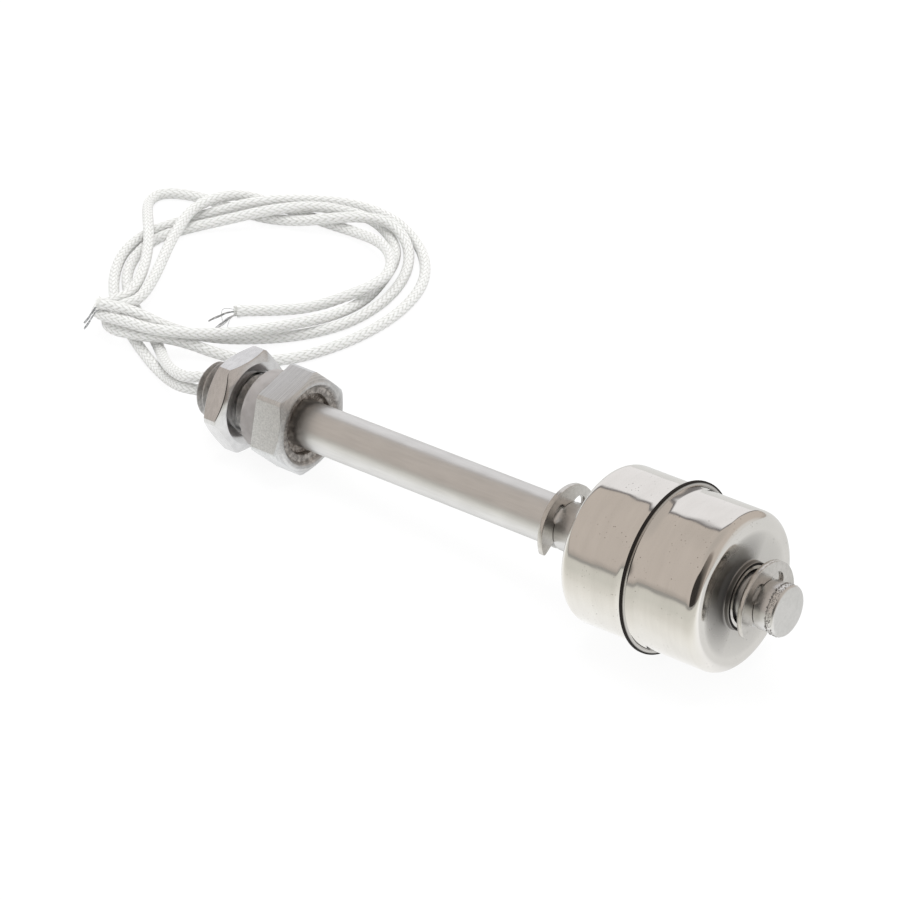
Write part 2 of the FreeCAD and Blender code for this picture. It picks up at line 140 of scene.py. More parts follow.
# Float
FLOAT_RADIUS = 13.0
FLOAT_WALL = 0.45
FLOAT_EDGE = 1.9
FLOAT_TOP = 66.2
FLOAT_BOTTOM = 94.2
FLOAT_MIDDLE = (FLOAT_TOP + FLOAT_BOTTOM) / 2
NECK_LENGTH = 1.0
NECK_RADIUS = 5.53
FLOAT_TUBE_RADIUS = 5.08
BEAD_RADIUS = 14.0
BEAD_WIDTH = 0.5
BEAD_SEAM_EDGE = 0.05
BEAD_FOOT = 0.35
BEAD_FLARE = 1.4
BEAD_FLARE_BEND = 3.0
RIM_DEPTH = 0.22

# How dark the float is coloured, from 0 to 1: weld oxide at the bead's rim and the neck's end, painted
# shade in the crease at the bead's flank, a painted dark reflection on the neck, and a painted dark
# reflection of the clip that fades round the neck
WELDED_SEAM = 1.0
# Painted shade in the crease at the bead's flank
FLANK_PAINTED_SHADE = 0.3
# Painted dark reflection on the neck
NECK_PAINTED_REFLECTION = 0.6
RIM_MARGIN = 0.05
FLANK_MARGIN = 0.03
NECK_MARGIN = 0.1
# Painted dark reflection of the clip on the cup's flat face round the neck, strongest on one side
PAINTED_REFLECTION_RADIUS = 10.4
PAINTED_REFLECTION_WIDTH = PAINTED_REFLECTION_RADIUS - NECK_RADIUS
PAINTED_REFLECTION_RINGS = 6
PAINTED_REFLECTION_SIDE = 52.0
PAINTED_REFLECTION_STRENGTH = 0.95
PAINTED_REFLECTION_FADE = 0.5
PAINTED_REFLECTION_ALL_ROUND = 0.24
PAINTED_REFLECTION_SIDE_FADE = 0.7

# Fineness of the turned meshes
ARC_STEPS = 4
FINE_ARC_STEPS = 6
FLOAT_ARC_STEPS = 10
ROUND_POINTS = 144
FLOAT_POINTS = 192
THREAD_POINTS = 96
THREAD_STATIONS = 136
HEX_FLAT_STEPS = 18
HEX_CORNER_STEPS = 3
SHARP_ANGLE = 24.0
SHARED_EDGE = 0.48
WHOLE_EDGE = 0.95

# Leads, in millimetres from the floor point under the spigot's mouth
LEAD_RADIUS = 1.0
LEAD_SETBACK = 0.5
LEAD_EXIT_RUN = 3.0
LEAD_A_RISE = 1.25
LEAD_B_RISE = -1.55
LEAD_A_ROUTE = [
    (-5.4, -0.6, 7.5), (-10, 1.2, 5.7), (-16.2, 5.1, 3.4), (-22.5, 10.5, 1.1), (-29.5, 14.5, 1.1),
    (-37, 18.5, 1.1), (-43.5, 24, 1.1), (-47.5, 31, 1.1), (-48.5, 38, 1.1), (-46, 44.5, 1.1),
    (-41.5, 49.5, 2.2), (-37, 54, 3.6), (-32.5, 59.5, 3.8), (-29, 64.5, 2.3), (-23.5, 67.5, 1.1),
    (-16.5, 65, 1.1), (-11, 60.5, 1.1), (-7.8, 53.8, 1.1), (-5.2, 45, 1.1), (-5, 36, 2.3),
    (-7.2, 27.6, 3.7), (-11.6, 21, 3.7), (-15.9, 15.8, 4), (-18.8, 11.4, 5.2), (-22.8, 8.7, 5.7),
    (-28, 8, 5.5), (-32.3, 7.6, 5), (-35.1, 8.2, 4.4), (-37, 10.5, 3.7), (-37, 13.5, 3.4),
    (-36, 17, 3.4), (-38, 22, 3.4), (-42, 28, 3.4), (-46.5, 33.5, 3.5), (-51, 38, 3.4),
    (-55.5, 42.5, 2.2), (-58.5, 46, 1.2), (-59, 49.5, 1.1), (-56, 52, 1.1), (-51, 53.5, 1.1),
    (-44.5, 54, 1.1), (-38, 55, 1.1), (-32, 57.5, 1.6), (-26.5, 59.5, 3.4), (-22, 63.5, 3.7),
    (-17, 65.5, 3.6), (-12, 64, 2.4), (-8.5, 61, 1.2), (-4.8, 55, 1.1), (-2.4, 47.1, 1.1),
    (-2.4, 38, 1.1), (-5.8, 29.8, 1.1), (-11.2, 23.6, 1.1), (-16.1, 18.9, 1.5), (-19.8, 15, 2.9),
    (-22.6, 11.8, 5), (-26.1, 10.2, 6.6), (-30.5, 9.1, 7), (-33.5, 8.1, 6.9),
]
LEAD_B_ROUTE = [
    (-6.5, -0.5, 5), (-12.5, 2.5, 2.3), (-19, 5.5, 1.1), (-25.5, 8.5, 1.1), (-32, 12, 1.1),
    (-39, 16.5, 1.1), (-45.5, 23, 1.1), (-50, 30.5, 1.1), (-51, 38, 1.1), (-49, 45, 1.1),
    (-45.5, 50.5, 1.8), (-41, 54.5, 3.6), (-37, 59, 3.7), (-33.5, 64.5, 2.4), (-28.5, 69.5, 1.1),
    (-20.5, 70, 1.1), (-12.5, 67, 1.1), (-5.5, 62, 1.1), (-0.5, 55, 1.1), (2, 46, 1.1),
    (2, 36.5, 1.1), (0, 28, 1.1), (-3, 21.5, 1.1), (-8, 17, 1.1), (-13.5, 15, 1.4),
    (-17.9, 13.2, 2.5), (-21.1, 10.9, 3.5), (-23.9, 9, 3.6), (-27.4, 8.1, 3.3), (-30.8, 7.9, 2.7),
    (-33.5, 8.8, 2.4), (-34.9, 10.8, 2.6), (-34.5, 13.5, 3.6), (-33.5, 17, 3.4), (-35.5, 22, 3.3),
    (-39, 28.5, 3.3), (-42.5, 34.5, 3.4), (-45.5, 40.5, 3.5), (-47.5, 46, 3.7), (-47, 51, 3.8),
    (-45.5, 55, 3.4), (-43.5, 58.5, 1.9), (-39.5, 60, 1.1), (-34, 60.5, 1.1), (-28, 61, 1.1),
    (-21, 61.5, 1.4), (-14, 59.5, 3.1), (-8.5, 56, 3.7), (-5, 51, 3.7), (-4.5, 46, 4),
    (-6, 41.5, 3.6), (-10, 37.5, 1.6), (-14.5, 33, 1.1), (-20, 28, 1.3),
]

# Braid of the leads
BRAID_CARRIERS = 10
BRAID_STITCH_LENGTH = 1.4
BRAID_RELIEF = 0.12
BRAID_RING_POINTS = 44
BRAID_STEP = 0.2
BRAID_FLARE_LENGTH = 1.4
BRAID_FLARE_A = 0.1
BRAID_FLARE_B = 0.28

# Bare ends and frayed sleeves of the leads
SLEEVE_A_ROUTE = [(-32.5, 8.4, 6.9), (-33.5, 8.1, 6.9), (-34.3, 7.8, 6.8)]
SLEEVE_B_ROUTE = [(-19.2, 28.7, 1.3), (-20, 28, 1.3), (-20.6, 27.4, 1.3)]
WIRES_A_ROUTE = [
    (-33, 8.2, 6.9), (-34.6, 7.6, 6.3), (-35.5, 7.5, 4.6), (-36.5, 7.4, 3), (-37.3, 7.3, 1.8),
]
SIDE_WIRES_A_ROUTE = [
    (-33, 8, 6.7), (-34.2, 7.3, 5.6), (-35.2, 7.2, 4), (-36.4, 7.4, 2.2), (-37.4, 7.3, 0.6),
]
WIRES_B_ROUTE = [(-19.6, 28.3, 1.4), (-21, 26.8, 1.3), (-21.9, 25, 0.9), (-22.6, 23, 0.5)]
SPREAD_WIRES_B_ROUTE = [(-19.6, 28.1, 1.2), (-20.2, 26, 0.9), (-20.1, 24.1, 0.6), (-20.1, 22.1, 0.5)]
LOOSE_WIRE_B_ROUTE = [
    (-19.6, 28.2, 1.3), (-21.3, 27, 1.8), (-22, 26, 1.9), (-21.5, 25.1, 1.4), (-20.6, 24.5, 0.4),
]
FALLEN_WIRE_B_ROUTE = [(-19.6, 28.1, 1.2), (-20, 26.1, 0.9), (-19.6, 24.9, 0.6), (-18.4, 23.1, 0.3)]
STRAND_POINTS = 20
STRAND_SIDES = 6
GOLDEN_TURN = 2.39996
TIGHT_WIRES = {"Strands": 5, "Bundle Radius": 0.15 * MM, "Spread": 0.4}
SINGLE_WIRE = {"Strands": 1, "Bundle Radius": 0.0, "Strand Radius": 0.045 * MM}
SLEEVE_HAIRS = {
    "Strands": 90, "Strand Radius": 0.035 * MM, "Twist": 0.4, "Bundle Radius": 0.92 * MM, "Spread": 0.25,
}


# Small helpers for node trees

def is_socket(value):
    return isinstance(value, bpy.types.NodeSocket)


def feed(node, inputs):
    """Sets a node's inputs to values, or links them to sockets."""
    for key, value in inputs.items():
        if is_socket(value):
            node.id_data.links.new(value, node.inputs[key])
        else:
            node.inputs[key].default_value = value


def add(kind, inputs=None, tree=None, **settings):
    """A new node in the tree of the sockets that feed it, or in a given tree.

    Its settings come first, because they decide which inputs it has.
    """
    inputs = inputs or {}
    if tree is None:
        tree = next(filter(is_socket, inputs.values())).id_data
    node = tree.nodes.new(kind)
    for key, value in settings.items():
        setattr(node, key, value)
    feed(node, inputs)
    return node


def out_of(kind, inputs=None, **settings):
    """The first output of a new node."""
    return add(kind, inputs, **settings).outputs[0]


def calc(operation, *values):
    return out_of("ShaderNodeMath", dict(enumerate(values)), operation=operation)


plus = partial(calc, "ADD")
minus = partial(calc, "SUBTRACT")
times = partial(calc, "MULTIPLY")
over = partial(calc, "DIVIDE")
larger = partial(calc, "MAXIMUM")


def scaled(vector, factor):
    return out_of("ShaderNodeVectorMath", {0: vector, "Scale": factor}, operation="SCALE")


def between(value, low, high, to_low, to_high):
    inputs = {"Value": value, "From Min": low, "From Max": high, "To Min": to_low, "To Max": to_high}
    return out_of("ShaderNodeMapRange", inputs)


def blend_value(factor, first, second):
    return out_of("ShaderNodeMix", {0: factor, 2: first, 3: second})


def blend_colour(factor, first, second):
    first, second = [colour if is_socket(colour) else (*colour, 1) for colour in (first, second)]
    return add("ShaderNodeMix", {0: factor, 6: first, 7: second}, data_type="RGBA").outputs[2]


def mottled(pattern, dark, light, low=0.35, high=0.65):
    """Colour from dark to light over the middle values of a pattern."""
    return blend_colour(between(pattern, low, high, 0, 1), dark, light)


def ramp(value, stops):
    """Colour for a value from 0 to 1. Stops are (position, colour)."""
    node = add("ShaderNodeValToRGB", {"Fac": value})
    elements = node.color_ramp.elements
    while len(elements) < len(stops):
        elements.new(0.5)
    for element, (position, colour) in zip(elements, stops):
        element.position = position
        element.color = (*colour, 1)
    return node.outputs["Color"]


def noise(vector, scale, detail=4.0, roughness=0.55):
    inputs = {"Vector": vector, "Scale": scale, "Detail": detail, "Roughness": roughness}
    return add("ShaderNodeTexNoise", inputs).outputs["Fac"]


def stretched(vector, scale):
    return out_of("ShaderNodeMapping", {"Vector": vector, "Scale": scale})


def bump(height, depth, normal=None):
    """Relief with its depth in millimetres, on top of another relief where one is given."""
    inputs = {"Height": height, "Distance": depth * MM, "Strength": 1.0}
    if normal is not None:
        inputs["Normal"] = normal
    return out_of("ShaderNodeBump", inputs)


# Materials

def attribute(made, name):
    return add("ShaderNodeAttribute", tree=made.node_tree, attribute_name=name).outputs["Fac"]


def new_material(name, metallic=0.0, roughness=0.5):
    """A material with its shader, and coordinates in millimetres in the stem's own frame."""
    made = bpy.data.materials.new(name)
    made.use_nodes = True
    tree = made.node_tree
    shader = tree.nodes["Principled BSDF"]
    feed(shader, {"Metallic": metallic, "Roughness": roughness})
    turn = STEM_TURN.inverted()
    along_stem = out_of("ShaderNodeMapping", {
        "Vector": add("ShaderNodeTexCoord", tree=tree).outputs["Object"],
        "Location": -(turn @ SEAL) / MM,
        "Rotation": turn.to_euler(),
        "Scale": (1 / MM,) * 3,
    })
    return made, shader, along_stem


def steel(name, light, dark, roughness, lines=(1.5, 1.5, 1.5), line_depth=0.002, wave_depth=0.01,
          grain_depth=0.003, pitting=0.0):
    """Metal with turning or polishing lines, slow waves in its reflections, and a fine grain.

    lines holds how fast the lines change along and across the stem, per millimetre. pitting
    above 0 adds fine brown pits in patches.
    """
    made, shader, place = new_material(name, metallic=1.0)
    streaks = noise(stretched(place, lines), scale=1.0, detail=5.0)
    cloud = noise(place, scale=0.22, detail=1.0)
    grain = noise(place, scale=6.0, detail=2.0)
    cloud_share = 0.4
    tone = blend_value(cloud_share, streaks, cloud)
    colour = mottled(tone, dark, light)
    if pitting:
        cells = out_of("ShaderNodeTexVoronoi", {"Vector": place, "Scale": 1.4})
        dots = between(cells, 0.08, 0.18, 1, 0)
        patches = between(noise(place, scale=0.3, detail=3.0), 0.48, 0.62, 0, pitting)
        pit_brown = (0.13, 0.11, 0.09)
        colour = blend_colour(times(dots, patches), colour, pit_brown)
    smoothest, roughest = roughness
    normal = bump(cloud, wave_depth)
    normal = bump(streaks, line_depth, normal)
    feed(shader, {
        "Base Color": colour,
        "Roughness": between(tone, 0.3, 0.7, roughest, smoothest),
        "Normal": bump(grain, grain_depth, normal),
    })
    return made


def with_weld_and_painted_shade(made):
    """Turns a metal dark and rough by a mask on the piece that holds weld oxide, painted shade and painted
    dark reflections, and not metallic where it is darkest.
    """
    shader = made.node_tree.nodes["Principled BSDF"]
    weld_and_painted_shade = attribute(made, "weld_and_painted_shade")
    clean_colour = shader.inputs["Base Color"].links[0].from_socket
    clean_roughness = shader.inputs["Roughness"].links[0].from_socket
    weld_and_shade_colour = (0.018, 0.015, 0.013)
    weld_and_shade_roughness = 0.5
    non_metal_from = 0.7
    feed(shader, {
        "Base Color": blend_colour(weld_and_painted_shade, clean_colour, weld_and_shade_colour),
        "Roughness": blend_value(weld_and_painted_shade, clean_roughness, weld_and_shade_roughness),
        "Metallic": between(weld_and_painted_shade, non_metal_from, 1, 1, 0),
        "Specular IOR Level": 0.1,
    })
    return made


def cast_steel():
    """Rough cast skin, milled in lines where a face says so, and coloured darker and grainier where a face
    is marked so, most in the dish.
    """
    made, shader, place = new_material("cast_steel", metallic=1.0)
    milled = attribute(made, "milled")
    darkened = attribute(made, "darkened")
    lines = noise(stretched(place, (9.0, 0.1, 0.1)), scale=1.0, detail=5.0)
    pits = noise(place, scale=3.2, detail=6.0, roughness=0.7)
    lumps = noise(place, scale=1.1, roughness=0.65)
    tone = blend_value(milled, pits, lines)
    fresh = mottled(tone, (0.59, 0.60, 0.61), (0.82, 0.83, 0.835), 0.34, 0.66)
    darkened_skin = mottled(lumps, (0.16, 0.137, 0.12), (0.60, 0.555, 0.515), 0.42, 0.66)
    cast_roughness, milled_roughness = 0.45, 0.30
    fresh_grain, darkened_grain = 0.03, 0.14
    grain = blend_value(darkened, fresh_grain, darkened_grain)
    grainy = times(plus(pits, lumps), grain)
    feed(shader, {
        "Base Color": blend_colour(darkened, fresh, darkened_skin),
        "Roughness": blend_value(milled, cast_roughness, milled_roughness),
        "Normal": bump(grainy, 1.0, bump(tone, 0.03)),
    })
    return made


def silicone():
    """Cloudy rubber that lets a little light through."""
    made, shader, place = new_material("silicone", roughness=0.42)
    cloud = noise(place, scale=0.6, detail=3.0)
    feed(shader, {
        "Base Color": mottled(cloud, (0.37, 0.345, 0.335), (0.44, 0.415, 0.405)),
        "Subsurface Weight": 0.5,
        "Subsurface Radius": (0.004, 0.0037, 0.0035),
        "Subsurface Scale": 0.4,
        "Transmission Weight": 0.15,
        "IOR": 1.41,
        "Normal": bump(noise(place, scale=5.0, detail=3.0), 0.02),
    })
    return made


def braid_yarn():
    """Glass-fibre braid with painted shade between the yarns, and fine filaments along each."""
    made, shader, place = new_material("braid_yarn", roughness=0.72)
    cloud = noise(place, scale=0.35, detail=3.0)
    yarn = blend_colour(cloud, (0.88, 0.88, 0.86), (0.93, 0.93, 0.92))
    filament_turns = 31.0
    lines = calc("SINE", times(attribute(made, "filament"), filament_turns))
    fuzz = noise(place, scale=9.0, detail=2.0)
    feed(shader, {
        # Painted shade: the braid is coloured darker where a yarn lies low between others
        "Base Color": mottled(attribute(made, "weave"), (0.56, 0.56, 0.52), yarn, 0.15, 0.75),
        "Sheen Weight": 0.15,
        "Sheen Roughness": 0.5,
        "Normal": bump(fuzz, 0.03, bump(lines, 0.012)),
    })
    return made


def frayed_yarn():
    made, shader, place = new_material("frayed_yarn", roughness=0.7)
    cloud = noise(place, scale=1.5, detail=3.0)
    colour = blend_colour(cloud, (0.80, 0.80, 0.77), (0.92, 0.92, 0.90))
    feed(shader, {"Base Color": colour})
    return made


def tarnished(name, metallic, scale, dark, light, dark_roughness, light_roughness):
    """Dull metal that is rougher where it is darker."""
    made, shader, place = new_material(name, metallic)
    tarnish = noise(place, scale)
    feed(shader, {
        "Base Color": mottled(tarnish, dark, light),
        "Roughness": between(tarnish, 0.3, 0.7, dark_roughness, light_roughness),
    })
    return made


def inner_finish(name, light, dark, scale, roughness, metallic=0.0, transmission=0.0):
    """Finish of a piece inside the stem or float."""
    made, shader, place = new_material(name, metallic, roughness)
    grain = noise(place, scale)
    feed(shader, {
        "Base Color": mottled(grain, dark, light),
        "Transmission Weight": transmission,
        "Normal": bump(grain, 0.02),
    })
    return made


# The float cups carry weld oxide, painted shade and painted dark reflections in their colour
POLISHED = with_weld_and_painted_shade(steel(
    "polished_float", light=(0.81, 0.79, 0.76), dark=(0.76, 0.74, 0.71), roughness=(0.06, 0.13),
    lines=(0.9, 0.12, 0.12), line_depth=0.001, wave_depth=0.08, grain_depth=0.0006, pitting=0.6,
))
STEM_STEEL = steel(
    "ground_stem", light=(0.75, 0.745, 0.735), dark=(0.69, 0.685, 0.675), roughness=(0.31, 0.37),
    lines=(0.2, 2.4, 2.4), line_depth=0.0006, wave_depth=0.015, grain_depth=0.002,
)
CAP_STEEL = steel(
    "satin_cap", light=(0.77, 0.76, 0.745), dark=(0.68, 0.675, 0.66), roughness=(0.26, 0.36),
)
NUT_STEEL = steel(
    "satin_nut", light=(0.74, 0.74, 0.745), dark=(0.64, 0.64, 0.645), roughness=(0.12, 0.20),
    lines=(2.0, 0.8, 0.8), grain_depth=0.002,
)
CLIP_STEEL = steel(
    "stamped_clip", light=(0.70, 0.68, 0.655), dark=(0.58, 0.565, 0.54), roughness=(0.16, 0.26),
    wave_depth=0.02,
)
CAST_STEEL = cast_steel()
SILICONE = silicone()
BRAID = braid_yarn()
FRAY = frayed_yarn()
STRANDS = tarnished(
    "tinned_copper", metallic=0.9, scale=1.8, dark=(0.30, 0.31, 0.32), light=(0.84, 0.85, 0.86),
    dark_roughness=0.5, light_roughness=0.3,
)
WELD = tarnished(
    "weld_oxide", metallic=0.8, scale=4.0, dark=(0.17, 0.16, 0.155), light=(0.60, 0.58, 0.56),
    dark_roughness=0.4, light_roughness=0.2,
)
NYLON = inner_finish(
    "holder_nylon", light=(0.88, 0.87, 0.82), dark=(0.80, 0.79, 0.74), scale=1.5, roughness=0.5,
)
FERRITE = inner_finish(
    "magnet_ferrite", light=(0.12, 0.12, 0.13), dark=(0.06, 0.06, 0.065), scale=2.5, roughness=0.55,
    metallic=0.3,
)
GLASS = inner_finish(
    "reed_glass", light=(0.75, 0.9, 0.82), dark=(0.68, 0.84, 0.75), scale=1.0, roughness=0.05,
    transmission=0.9,
)
SHRINK = inner_finish(
    "shrink_sleeve", light=(0.07, 0.07, 0.07), dark=(0.04, 0.04, 0.04), scale=2.0, roughness=0.6,
)
INNER_BRAID = inner_finish(
    "inner_braid", light=(0.86, 0.85, 0.82), dark=(0.72, 0.70, 0.66), scale=2.5, roughness=0.75,
)
RESIN = inner_finish(
    "potting_resin", light=(0.20, 0.18, 0.16), dark=(0.12, 0.11, 0.10), scale=1.2, roughness=0.35,
)
INNER_FINISHES = {
    "float_bore_tube": POLISHED,
    "magnet_holder": NYLON,
    "ring_magnet": FERRITE,
    "reed_capsule": GLASS,
    "reed_blade_upper": CLIP_STEEL,
    "reed_blade_lower": CLIP_STEEL,
    "reed_sleeve": SHRINK,
    "splice_upper": STRANDS,
    "splice_lower": STRANDS,
    "inner_lead_a": INNER_BRAID,
    "inner_lead_b": INNER_BRAID,
    "potting_plug": RESIN,
}


# Meshes turned about the stem

def new_object(name, data):
    made = bpy.data.objects.new(name, data)
    bpy.context.scene.collection.objects.link(made)
    return made


def rounded(outline, steps=ARC_STEPS):
    """Closed outline of (along, radius, corner radius) with each corner rounded by an arc.

    An arc takes up to a share of the edges beside it, and more where the next corner is plain.
    """
    made = []
    for i, (x, y, radius) in enumerate(outline):
        here = Vector((x, y))
        if radius == 0:
            made.append(here)
            continue
        before = outline[i - 1]
        after = outline[(i + 1) % len(outline)]
        back = Vector(before[:2]) - here
        ahead = Vector(after[:2]) - here
        half = back.angle(ahead) / 2
        back_room = back.length * (SHARED_EDGE if before[2] else WHOLE_EDGE)
        ahead_room = ahead.length * (SHARED_EDGE if after[2] else WHOLE_EDGE)
        trim = min(radius / math.tan(half), back_room, ahead_room)
        bend = trim * math.tan(half)
        inward = (back.normalized() + ahead.normalized()).normalized()
        centre = here + inward * bend / math.sin(half)
        start = here + back.normalized() * trim - centre
        end = here + ahead.normalized() * trim - centre
        sweep = start.angle_signed(end)
        for step in range(steps + 1):
            turn = Matrix.Rotation(-sweep * step / steps, 2)
            made.append(centre + turn @ start)
    return [(point.x, point.y) for point in made]


def shaped(name, bm, finish):
    """A finished piece from a closed bmesh in the stem's frame."""
    bmesh.ops.remove_doubles(bm, verts=bm.verts, dist=1e-5)
    bmesh.ops.dissolve_degenerate(bm, edges=bm.edges, dist=1e-5)
    bmesh.ops.recalc_face_normals(bm, faces=bm.faces)
    for face in bm.faces:
        face.smooth = True
    for edge in bm.edges:
        edge.smooth = edge.calc_face_angle(0) < math.radians(SHARP_ANGLE)
    mesh = bpy.data.meshes.new(name)
    bm.to_mesh(mesh)
    bm.free()
    mesh.transform(STEM)
    mesh.materials.append(finish)
    return new_object(name, mesh)


def turned(bm, columns):
    """Rows of quads round the stem.

    Columns are (angle, closed outline), with angles from up towards the front.
    """
    rings = []
    for angle, outline in columns:
        across, up = -math.sin(angle), math.cos(angle)
        rings.append([bm.verts.new((x, radius * across, radius * up)) for x, radius in outline])
    for i, ring in enumerate(rings):
        following = rings[(i + 1) % len(rings)]
        for k in range(len(ring)):
            bm.faces.new((ring[k - 1], ring[k], following[k], following[k - 1]))


def round_angles(count):
    return [2 * math.pi * i / count for i in range(count)]


def hexagon_reach(across_flats, corner_radius, turn):
    """Angles round a hexagon with how far it reaches at each, its corners turned down to a radius."""
    apothem = across_flats / 2
    limit = math.acos(apothem / corner_radius)
    made = []
    for side in range(6):
        middle = math.radians(turn + 30 + 60 * side)
        for i in range(HEX_FLAT_STEPS):
            angle = limit * (2 * i / HEX_FLAT_STEPS - 1)
            made.append((middle + angle, apothem / math.cos(angle)))
        for i in range(HEX_CORNER_STEPS):
            angle = limit + (math.radians(60) - 2 * limit) * i / HEX_CORNER_STEPS
            made.append((middle + angle, corner_radius))
    return made


def round_piece(name, outline, finish, steps=ARC_STEPS):
    bm = bmesh.new()
    profile = rounded(outline, steps)
    turned(bm, [(angle, profile) for angle in round_angles(ROUND_POINTS)])
    return shaped(name, bm, finish)


def hexagon_columns():
    """Outlines of the hexagon with its dish, round the stem."""
    columns = []
    for angle, reach in hexagon_reach(HEX_ACROSS_FLATS, HEX_CORNER_RADIUS, HEX_TURN):
        shoulder = HEX_THICKNESS - (reach - HEX_CHAMFER_RADIUS) * CHAMFER_SLOPE
        columns.append((angle, rounded([
            (0, LEAD_BORE_RADIUS, 0),
            (0, reach, SOFT_EDGE),
            (shoulder, reach, BROKEN_EDGE),
            (HEX_THICKNESS, HEX_CHAMFER_RADIUS, BROKEN_EDGE),
            (HEX_THICKNESS, DISH_RADIUS, SOFT_EDGE),
            (DISH_FLOOR, DISH_RADIUS - DISH_SLOPE, DISH_FILLET),
            (DISH_FLOOR, RELIEF_RADIUS, DISH_FILLET),
            (RELIEF_FLOOR, RELIEF_RADIUS, FILLET),
            (RELIEF_FLOOR, SOCKET_RADIUS, 0),
            (SOCKET_FLOOR, SOCKET_RADIUS, 0),
            (SOCKET_FLOOR, LEAD_BORE_RADIUS, 0),
        ])))
    return columns


def thread_reach(along, angle):
    """Radius of a right-hand thread: a crest, two flanks and a root."""
    phase = abs(((along / THREAD_PITCH - angle / (2 * math.pi)) % 1) - 0.5) * 2
    flank = (phase - THREAD_CREST) / (THREAD_ROOT - THREAD_CREST)
    depth = THREAD_DEPTH * min(max(flank, 0), 1)
    lead_in = THREAD_RADIUS - THREAD_END_CHAMFER + (along + THREAD_LENGTH)
    return min(THREAD_RADIUS - depth, lead_in)


def spigot_columns():
    """Outlines of the threaded spigot, round the stem."""
    stations = [-THREAD_LENGTH * i / THREAD_STATIONS for i in range(THREAD_STATIONS + 1)]
    columns = []
    for angle in round_angles(THREAD_POINTS):
        outline = [(x, thread_reach(x, angle)) for x in stations]
        outline += [(-THREAD_LENGTH, LEAD_BORE_RADIUS), (0, LEAD_BORE_RADIUS)]
        columns.append((angle, outline))
    return columns


def threaded_head():
    """The hexagon and the threaded spigot, marked where they are milled and where they are coloured
    darker.
    """
    bm = bmesh.new()
    milled = bm.verts.layers.float.new("milled")
    darkened = bm.verts.layers.float.new("darkened")
    turned(bm, hexagon_columns())
    for vert in bm.verts:
        along, across, up = vert.co
        reach = math.hypot(across, up)
        angle = math.degrees(math.atan2(-across, up)) - HEX_TURN
        side = int(angle // 60) % 6
        vert[milled] = 0.0 if side in HEX_CAST_SIDES else 1.0
        if along > RELIEF_FLOOR - DARKENING_MARGIN and reach < DISH_RADIUS - DARKENING_MARGIN:
            vert[darkened] = 1.0 if reach < RELIEF_RADIUS + DARKENING_MARGIN else DISH_DARKENING
        elif along > HEX_THICKNESS - DARKENING_MARGIN:
            vert[darkened] = FACE_DARKENING
    turned(bm, spigot_columns())
    for vert in bm.verts:
        if vert.co.x < 0:
            vert[darkened] = THREAD_DARKENING
    return shaped("threaded_head", bm, CAST_STEEL)


def hex_nut():
    bm = bmesh.new()
    columns = []
    for angle, reach in hexagon_reach(NUT_ACROSS_FLATS, NUT_CORNER_RADIUS, NUT_TURN):
        slope = (reach - NUT_CHAMFER_RADIUS) * CHAMFER_SLOPE
        columns.append((angle, rounded([
            (NUT_BACK + NUT_COUNTERSINK, NUT_BORE_RADIUS, 0),
            (NUT_BACK, NUT_BORE_RADIUS + NUT_COUNTERSINK, BROKEN_EDGE),
            (NUT_BACK, NUT_CHAMFER_RADIUS, BROKEN_EDGE),
            (NUT_BACK + slope, reach, SOFT_EDGE),
            (NUT_FRONT - slope, reach, FILLET),
            (NUT_FRONT, NUT_CHAMFER_RADIUS, NUT_FRONT_EDGE),
            (NUT_FRONT, NUT_BORE_RADIUS + NUT_COUNTERSINK, BROKEN_EDGE),
            (NUT_FRONT - NUT_COUNTERSINK, NUT_BORE_RADIUS, 0),
        ])))
    turned(bm, columns)
    return shaped("hex_nut", bm, NUT_STEEL)


def sealing_washer():
    bore = THREAD_RADIUS + WASHER_BORE_PLAY
    return round_piece("sealing_washer", [
        (0, bore, BROKEN_EDGE),
        (0, WASHER_RADIUS, WASHER_EDGE),
        (-WASHER_THICKNESS, WASHER_RADIUS, WASHER_EDGE),
        (-WASHER_THICKNESS, bore, BROKEN_EDGE),
    ], SILICONE, FINE_ARC_STEPS)


def stem_tube():
    """The tube with a groove for each clip."""
    outline = [(SOCKET_FLOOR, STEM_BORE_RADIUS, 0), (SOCKET_FLOOR, STEM_RADIUS, 0)]
    for back in CLIP_BACKS:
        start = back - CLIP_GROOVE_PLAY
        end = back + CLIP_THICKNESS + CLIP_GROOVE_PLAY
        outline += [
            (start, STEM_RADIUS, FINE_EDGE),
            (start, CLIP_GROOVE_RADIUS, 0),
            (end, CLIP_GROOVE_RADIUS, 0),
            (end, STEM_RADIUS, FINE_EDGE),
        ]
    outline += [(CAP_BACK, STEM_RADIUS, BROKEN_EDGE), (CAP_BACK, STEM_BORE_RADIUS, 0)]
    return round_piece("stem_tube", outline, STEM_STEEL)


def stem_end_cap():
    """The domed cap with the plug that goes into the tube."""
    plug_end = CAP_BACK - CAP_PLUG_LENGTH
    rim = CAP_RADIUS - CAP_DOME_INSET
    outline = [
        (plug_end, 0, 0),
        (plug_end, CAP_PLUG_RADIUS, 0),
        (CAP_BACK, CAP_PLUG_RADIUS, 0),
        (CAP_BACK, CAP_RADIUS, WORN_EDGE),
        (STEM_REACH - CAP_DOME, CAP_RADIUS, CAP_EDGE),
    ]
    for i in range(CAP_DOME_RINGS):
        share = 1 - (i + 1) / CAP_DOME_RINGS
        outline.append((STEM_REACH - CAP_DOME * share ** 2, rim * share, 0))
    return round_piece("stem_end_cap", outline, CAP_STEEL, FINE_ARC_STEPS)


